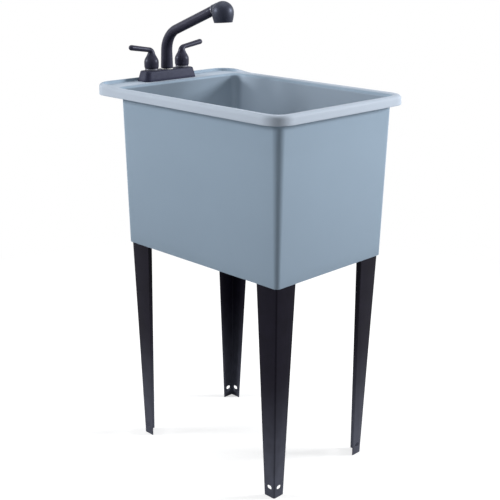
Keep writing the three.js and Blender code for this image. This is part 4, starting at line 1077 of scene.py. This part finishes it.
def make_spout():
    turn = math.pi / 2 - SPOUT_RISE
    tangent = BEND_RADIUS * math.tan(turn / 2)
    start = BEND_HEIGHT - tangent
    up = Vector((0, 0, 1))

    def on_riser(height, radius):
        return circle(Vector((FAUCET_X, FAUCET_Y, height)), up, radius)

    rings = [
        on_riser(RISER_FOOT_Z, RISER_BORE),
        on_riser(RISER_FOOT_Z, RISER_FOOT - RISER_EDGE),
        on_riser(RISER_FOOT_Z + RISER_EDGE, RISER_FOOT),
        on_riser(RISER_FOOT_Z + RISER_STRAIGHT, RISER_FOOT),
    ]
    for k in range(1, 9):
        share = k / 8
        height = mix(RISER_FOOT_Z + RISER_STRAIGHT, start, share)
        rings.append(on_riser(height, mix(RISER_FOOT, RISER_TOP, share)))
    for k in range(1, 25):
        angle = turn * k / 24
        out = BEND_RADIUS * (1 - math.cos(angle))
        centre = Vector((FAUCET_X, FAUCET_Y - out, start + BEND_RADIUS * math.sin(angle)))
        radius = mix(RISER_TOP, SPOUT_RADIUS, smoothstep(k / 24, 0, 1))
        rings.append(circle(centre, Vector((0, -math.sin(angle), math.cos(angle))), radius))
    stretch = [(mix(tangent, TUBE_END, share), SPOUT_RADIUS) for share in (0.3, 0.6, 0.9)]
    stretch += [
        (TUBE_END - SPOUT_EDGE, SPOUT_RADIUS), (TUBE_END, SPOUT_RADIUS - SPOUT_EDGE),
        (TUBE_END, SPOUT_BORE), (TUBE_END - SPOUT_BORE_DEPTH, SPOUT_BORE),
    ]
    rings += tube_rings(stretch)
    points, faces = loft(rings)
    make_piece("spout_tube", points, faces, "swivel_spout", "faucet", ["spout"], sharp=50)


def make_dock_ring():
    start = TUBE_END + GAP
    profile = washer_profile(NECK_RADIUS + SLACK, DOCK_RADIUS, start, start + DOCK_THICKNESS)
    points, faces = loft(tube_rings((along, radius) for radius, along in profile), closed=True)
    make_piece(
        "dock_ring_visual", points, faces, "swivel_spout", "ring", ["dock_ring"], sharp=60)


def head_profile(shrink):
    """(radius, height) pairs from the mouth of the bell up its side and over its dome."""
    radius = HEAD_RADIUS - shrink
    mouth = HEAD_MOUTH - shrink
    crown = HEAD_HEIGHT - shrink
    shoulder = HEAD_HEIGHT - HEAD_RADIUS
    profile = []
    side_steps, dome_steps = 14, 20
    for k in range(side_steps):
        share = k / side_steps
        profile.append((mix(mouth, radius, math.sin(share * math.pi / 2)), shoulder * share))
    for k in range(dome_steps):
        angle = k / dome_steps * math.pi / 2
        height = shoulder + (crown - shoulder) * math.sin(angle)
        profile.append((radius * math.cos(angle), height))
    profile.append((HEAD_TIP, crown))
    return profile


def make_head():
    """The bell, and the boss on it that rests against the ring at the end of the spout."""
    out = SPOUT_REACH + HEAD_SETBACK
    base = BEND_HEIGHT + out * math.tan(SPOUT_RISE) - HEAD_HEIGHT * HEAD_SEAT_SHARE
    place = Matrix.Translation((FAUCET_X, FAUCET_Y - out, base))
    place @= Matrix.Rotation(-HEAD_TILT, 4, "X")
    profile = head_profile(0) + head_profile(HEAD_WALL)[::-1]
    points, faces = loft(lathe(profile, sides=HEAD_SIDES), closed=True)
    points = [place @ point for point in points]
    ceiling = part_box("spray_head")[1].z
    for point in points:
        point.z = min(point.z, ceiling)
    bore = NECK_RADIUS + GAP
    start = TUBE_END + 2 * GAP + DOCK_THICKNESS
    boss = ((0, bore), (0, HEAD_BOSS - HEAD_BOSS_EDGE), (HEAD_BOSS_EDGE, HEAD_BOSS),
            (HEAD_BOSS_LENGTH, HEAD_BOSS), (HEAD_BOSS_LENGTH, bore))
    boss_rings = tube_rings((start + along, radius) for along, radius in boss)
    boss_points, boss_faces = loft(boss_rings, closed=True)
    faces += [tuple(index + len(points) for index in face) for face in boss_faces]
    points += boss_points
    make_piece(
        "spray_head_shell", points, faces, "pull_out_head", "head", ["spray_head"], sharp=50)


# ---- CAD nodes that stay ------------------------------------------------------------------------


WELD = 0.00001
CREASE = math.radians(32)
LEG_EDGE = 0.0004
LEG_EDGE_ANGLE = math.radians(40)


def smooth_group():
    """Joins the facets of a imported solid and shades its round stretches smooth."""
    group = bpy.data.node_groups.new("smooth_solid", "GeometryNodeTree")
    group.interface.new_socket("Geometry", in_out="INPUT", socket_type="NodeSocketGeometry")
    group.interface.new_socket("Geometry", in_out="OUTPUT", socket_type="NodeSocketGeometry")
    nodes = group.nodes
    links = group.links
    start = nodes.new("NodeGroupInput")
    end = nodes.new("NodeGroupOutput")
    weld = nodes.new("GeometryNodeMergeByDistance")
    weld.inputs["Distance"].default_value = WELD
    smooth = nodes.new("GeometryNodeSetShadeSmooth")
    creases = nodes.new("GeometryNodeSetShadeSmooth")
    creases.domain = "EDGE"
    angle = nodes.new("GeometryNodeInputMeshEdgeAngle")
    shallow = nodes.new("FunctionNodeCompare")
    shallow.operation = "LESS_THAN"
    shallow.inputs[1].default_value = CREASE
    links.new(start.outputs[0], weld.inputs[0])
    links.new(weld.outputs[0], smooth.inputs[0])
    links.new(smooth.outputs[0], creases.inputs[0])
    links.new(angle.outputs[0], shallow.inputs[0])
    invert = nodes.new("FunctionNodeBooleanMath")
    invert.operation = "NOT"
    links.new(shallow.outputs[0], invert.inputs[0])
    links.new(invert.outputs[0], creases.inputs["Selection"])
    creases.inputs["Shade Smooth"].default_value = False
    links.new(creases.outputs[0], end.inputs[0])
    return group


def dress_cad_nodes():
    group = smooth_group()
    slots = {part["node"]: part["material_slot"] for part in frame["record"]["subparts"]}
    for name, node in frame["nodes"].items():
        material = THREADED if name.endswith("_shank") else MATERIALS[slots[name]]
        node.data.materials.clear()
        node.data.materials.append(material)
        modifier = node.modifiers.new("smooth", "NODES")
        modifier.node_group = group
        if name.startswith("leg_"):
            bevel = node.modifiers.new("edges", "BEVEL")
            bevel.width = LEG_EDGE
            bevel.segments = 2
            bevel.limit_method = "ANGLE"
            bevel.angle_limit = LEG_EDGE_ANGLE


bpy.context.scene.view_settings.view_transform = "Standard"
add_camera()
add_world()
add_floor()
for softbox in SOFTBOXES:
    add_softbox(*softbox)
make_tub()
make_sockets()
make_base()
for valve, outward in VALVES.items():
    make_collar(valve)
    make_handle(valve, outward)
make_spout()
make_dock_ring()
make_head()
dress_cad_nodes()
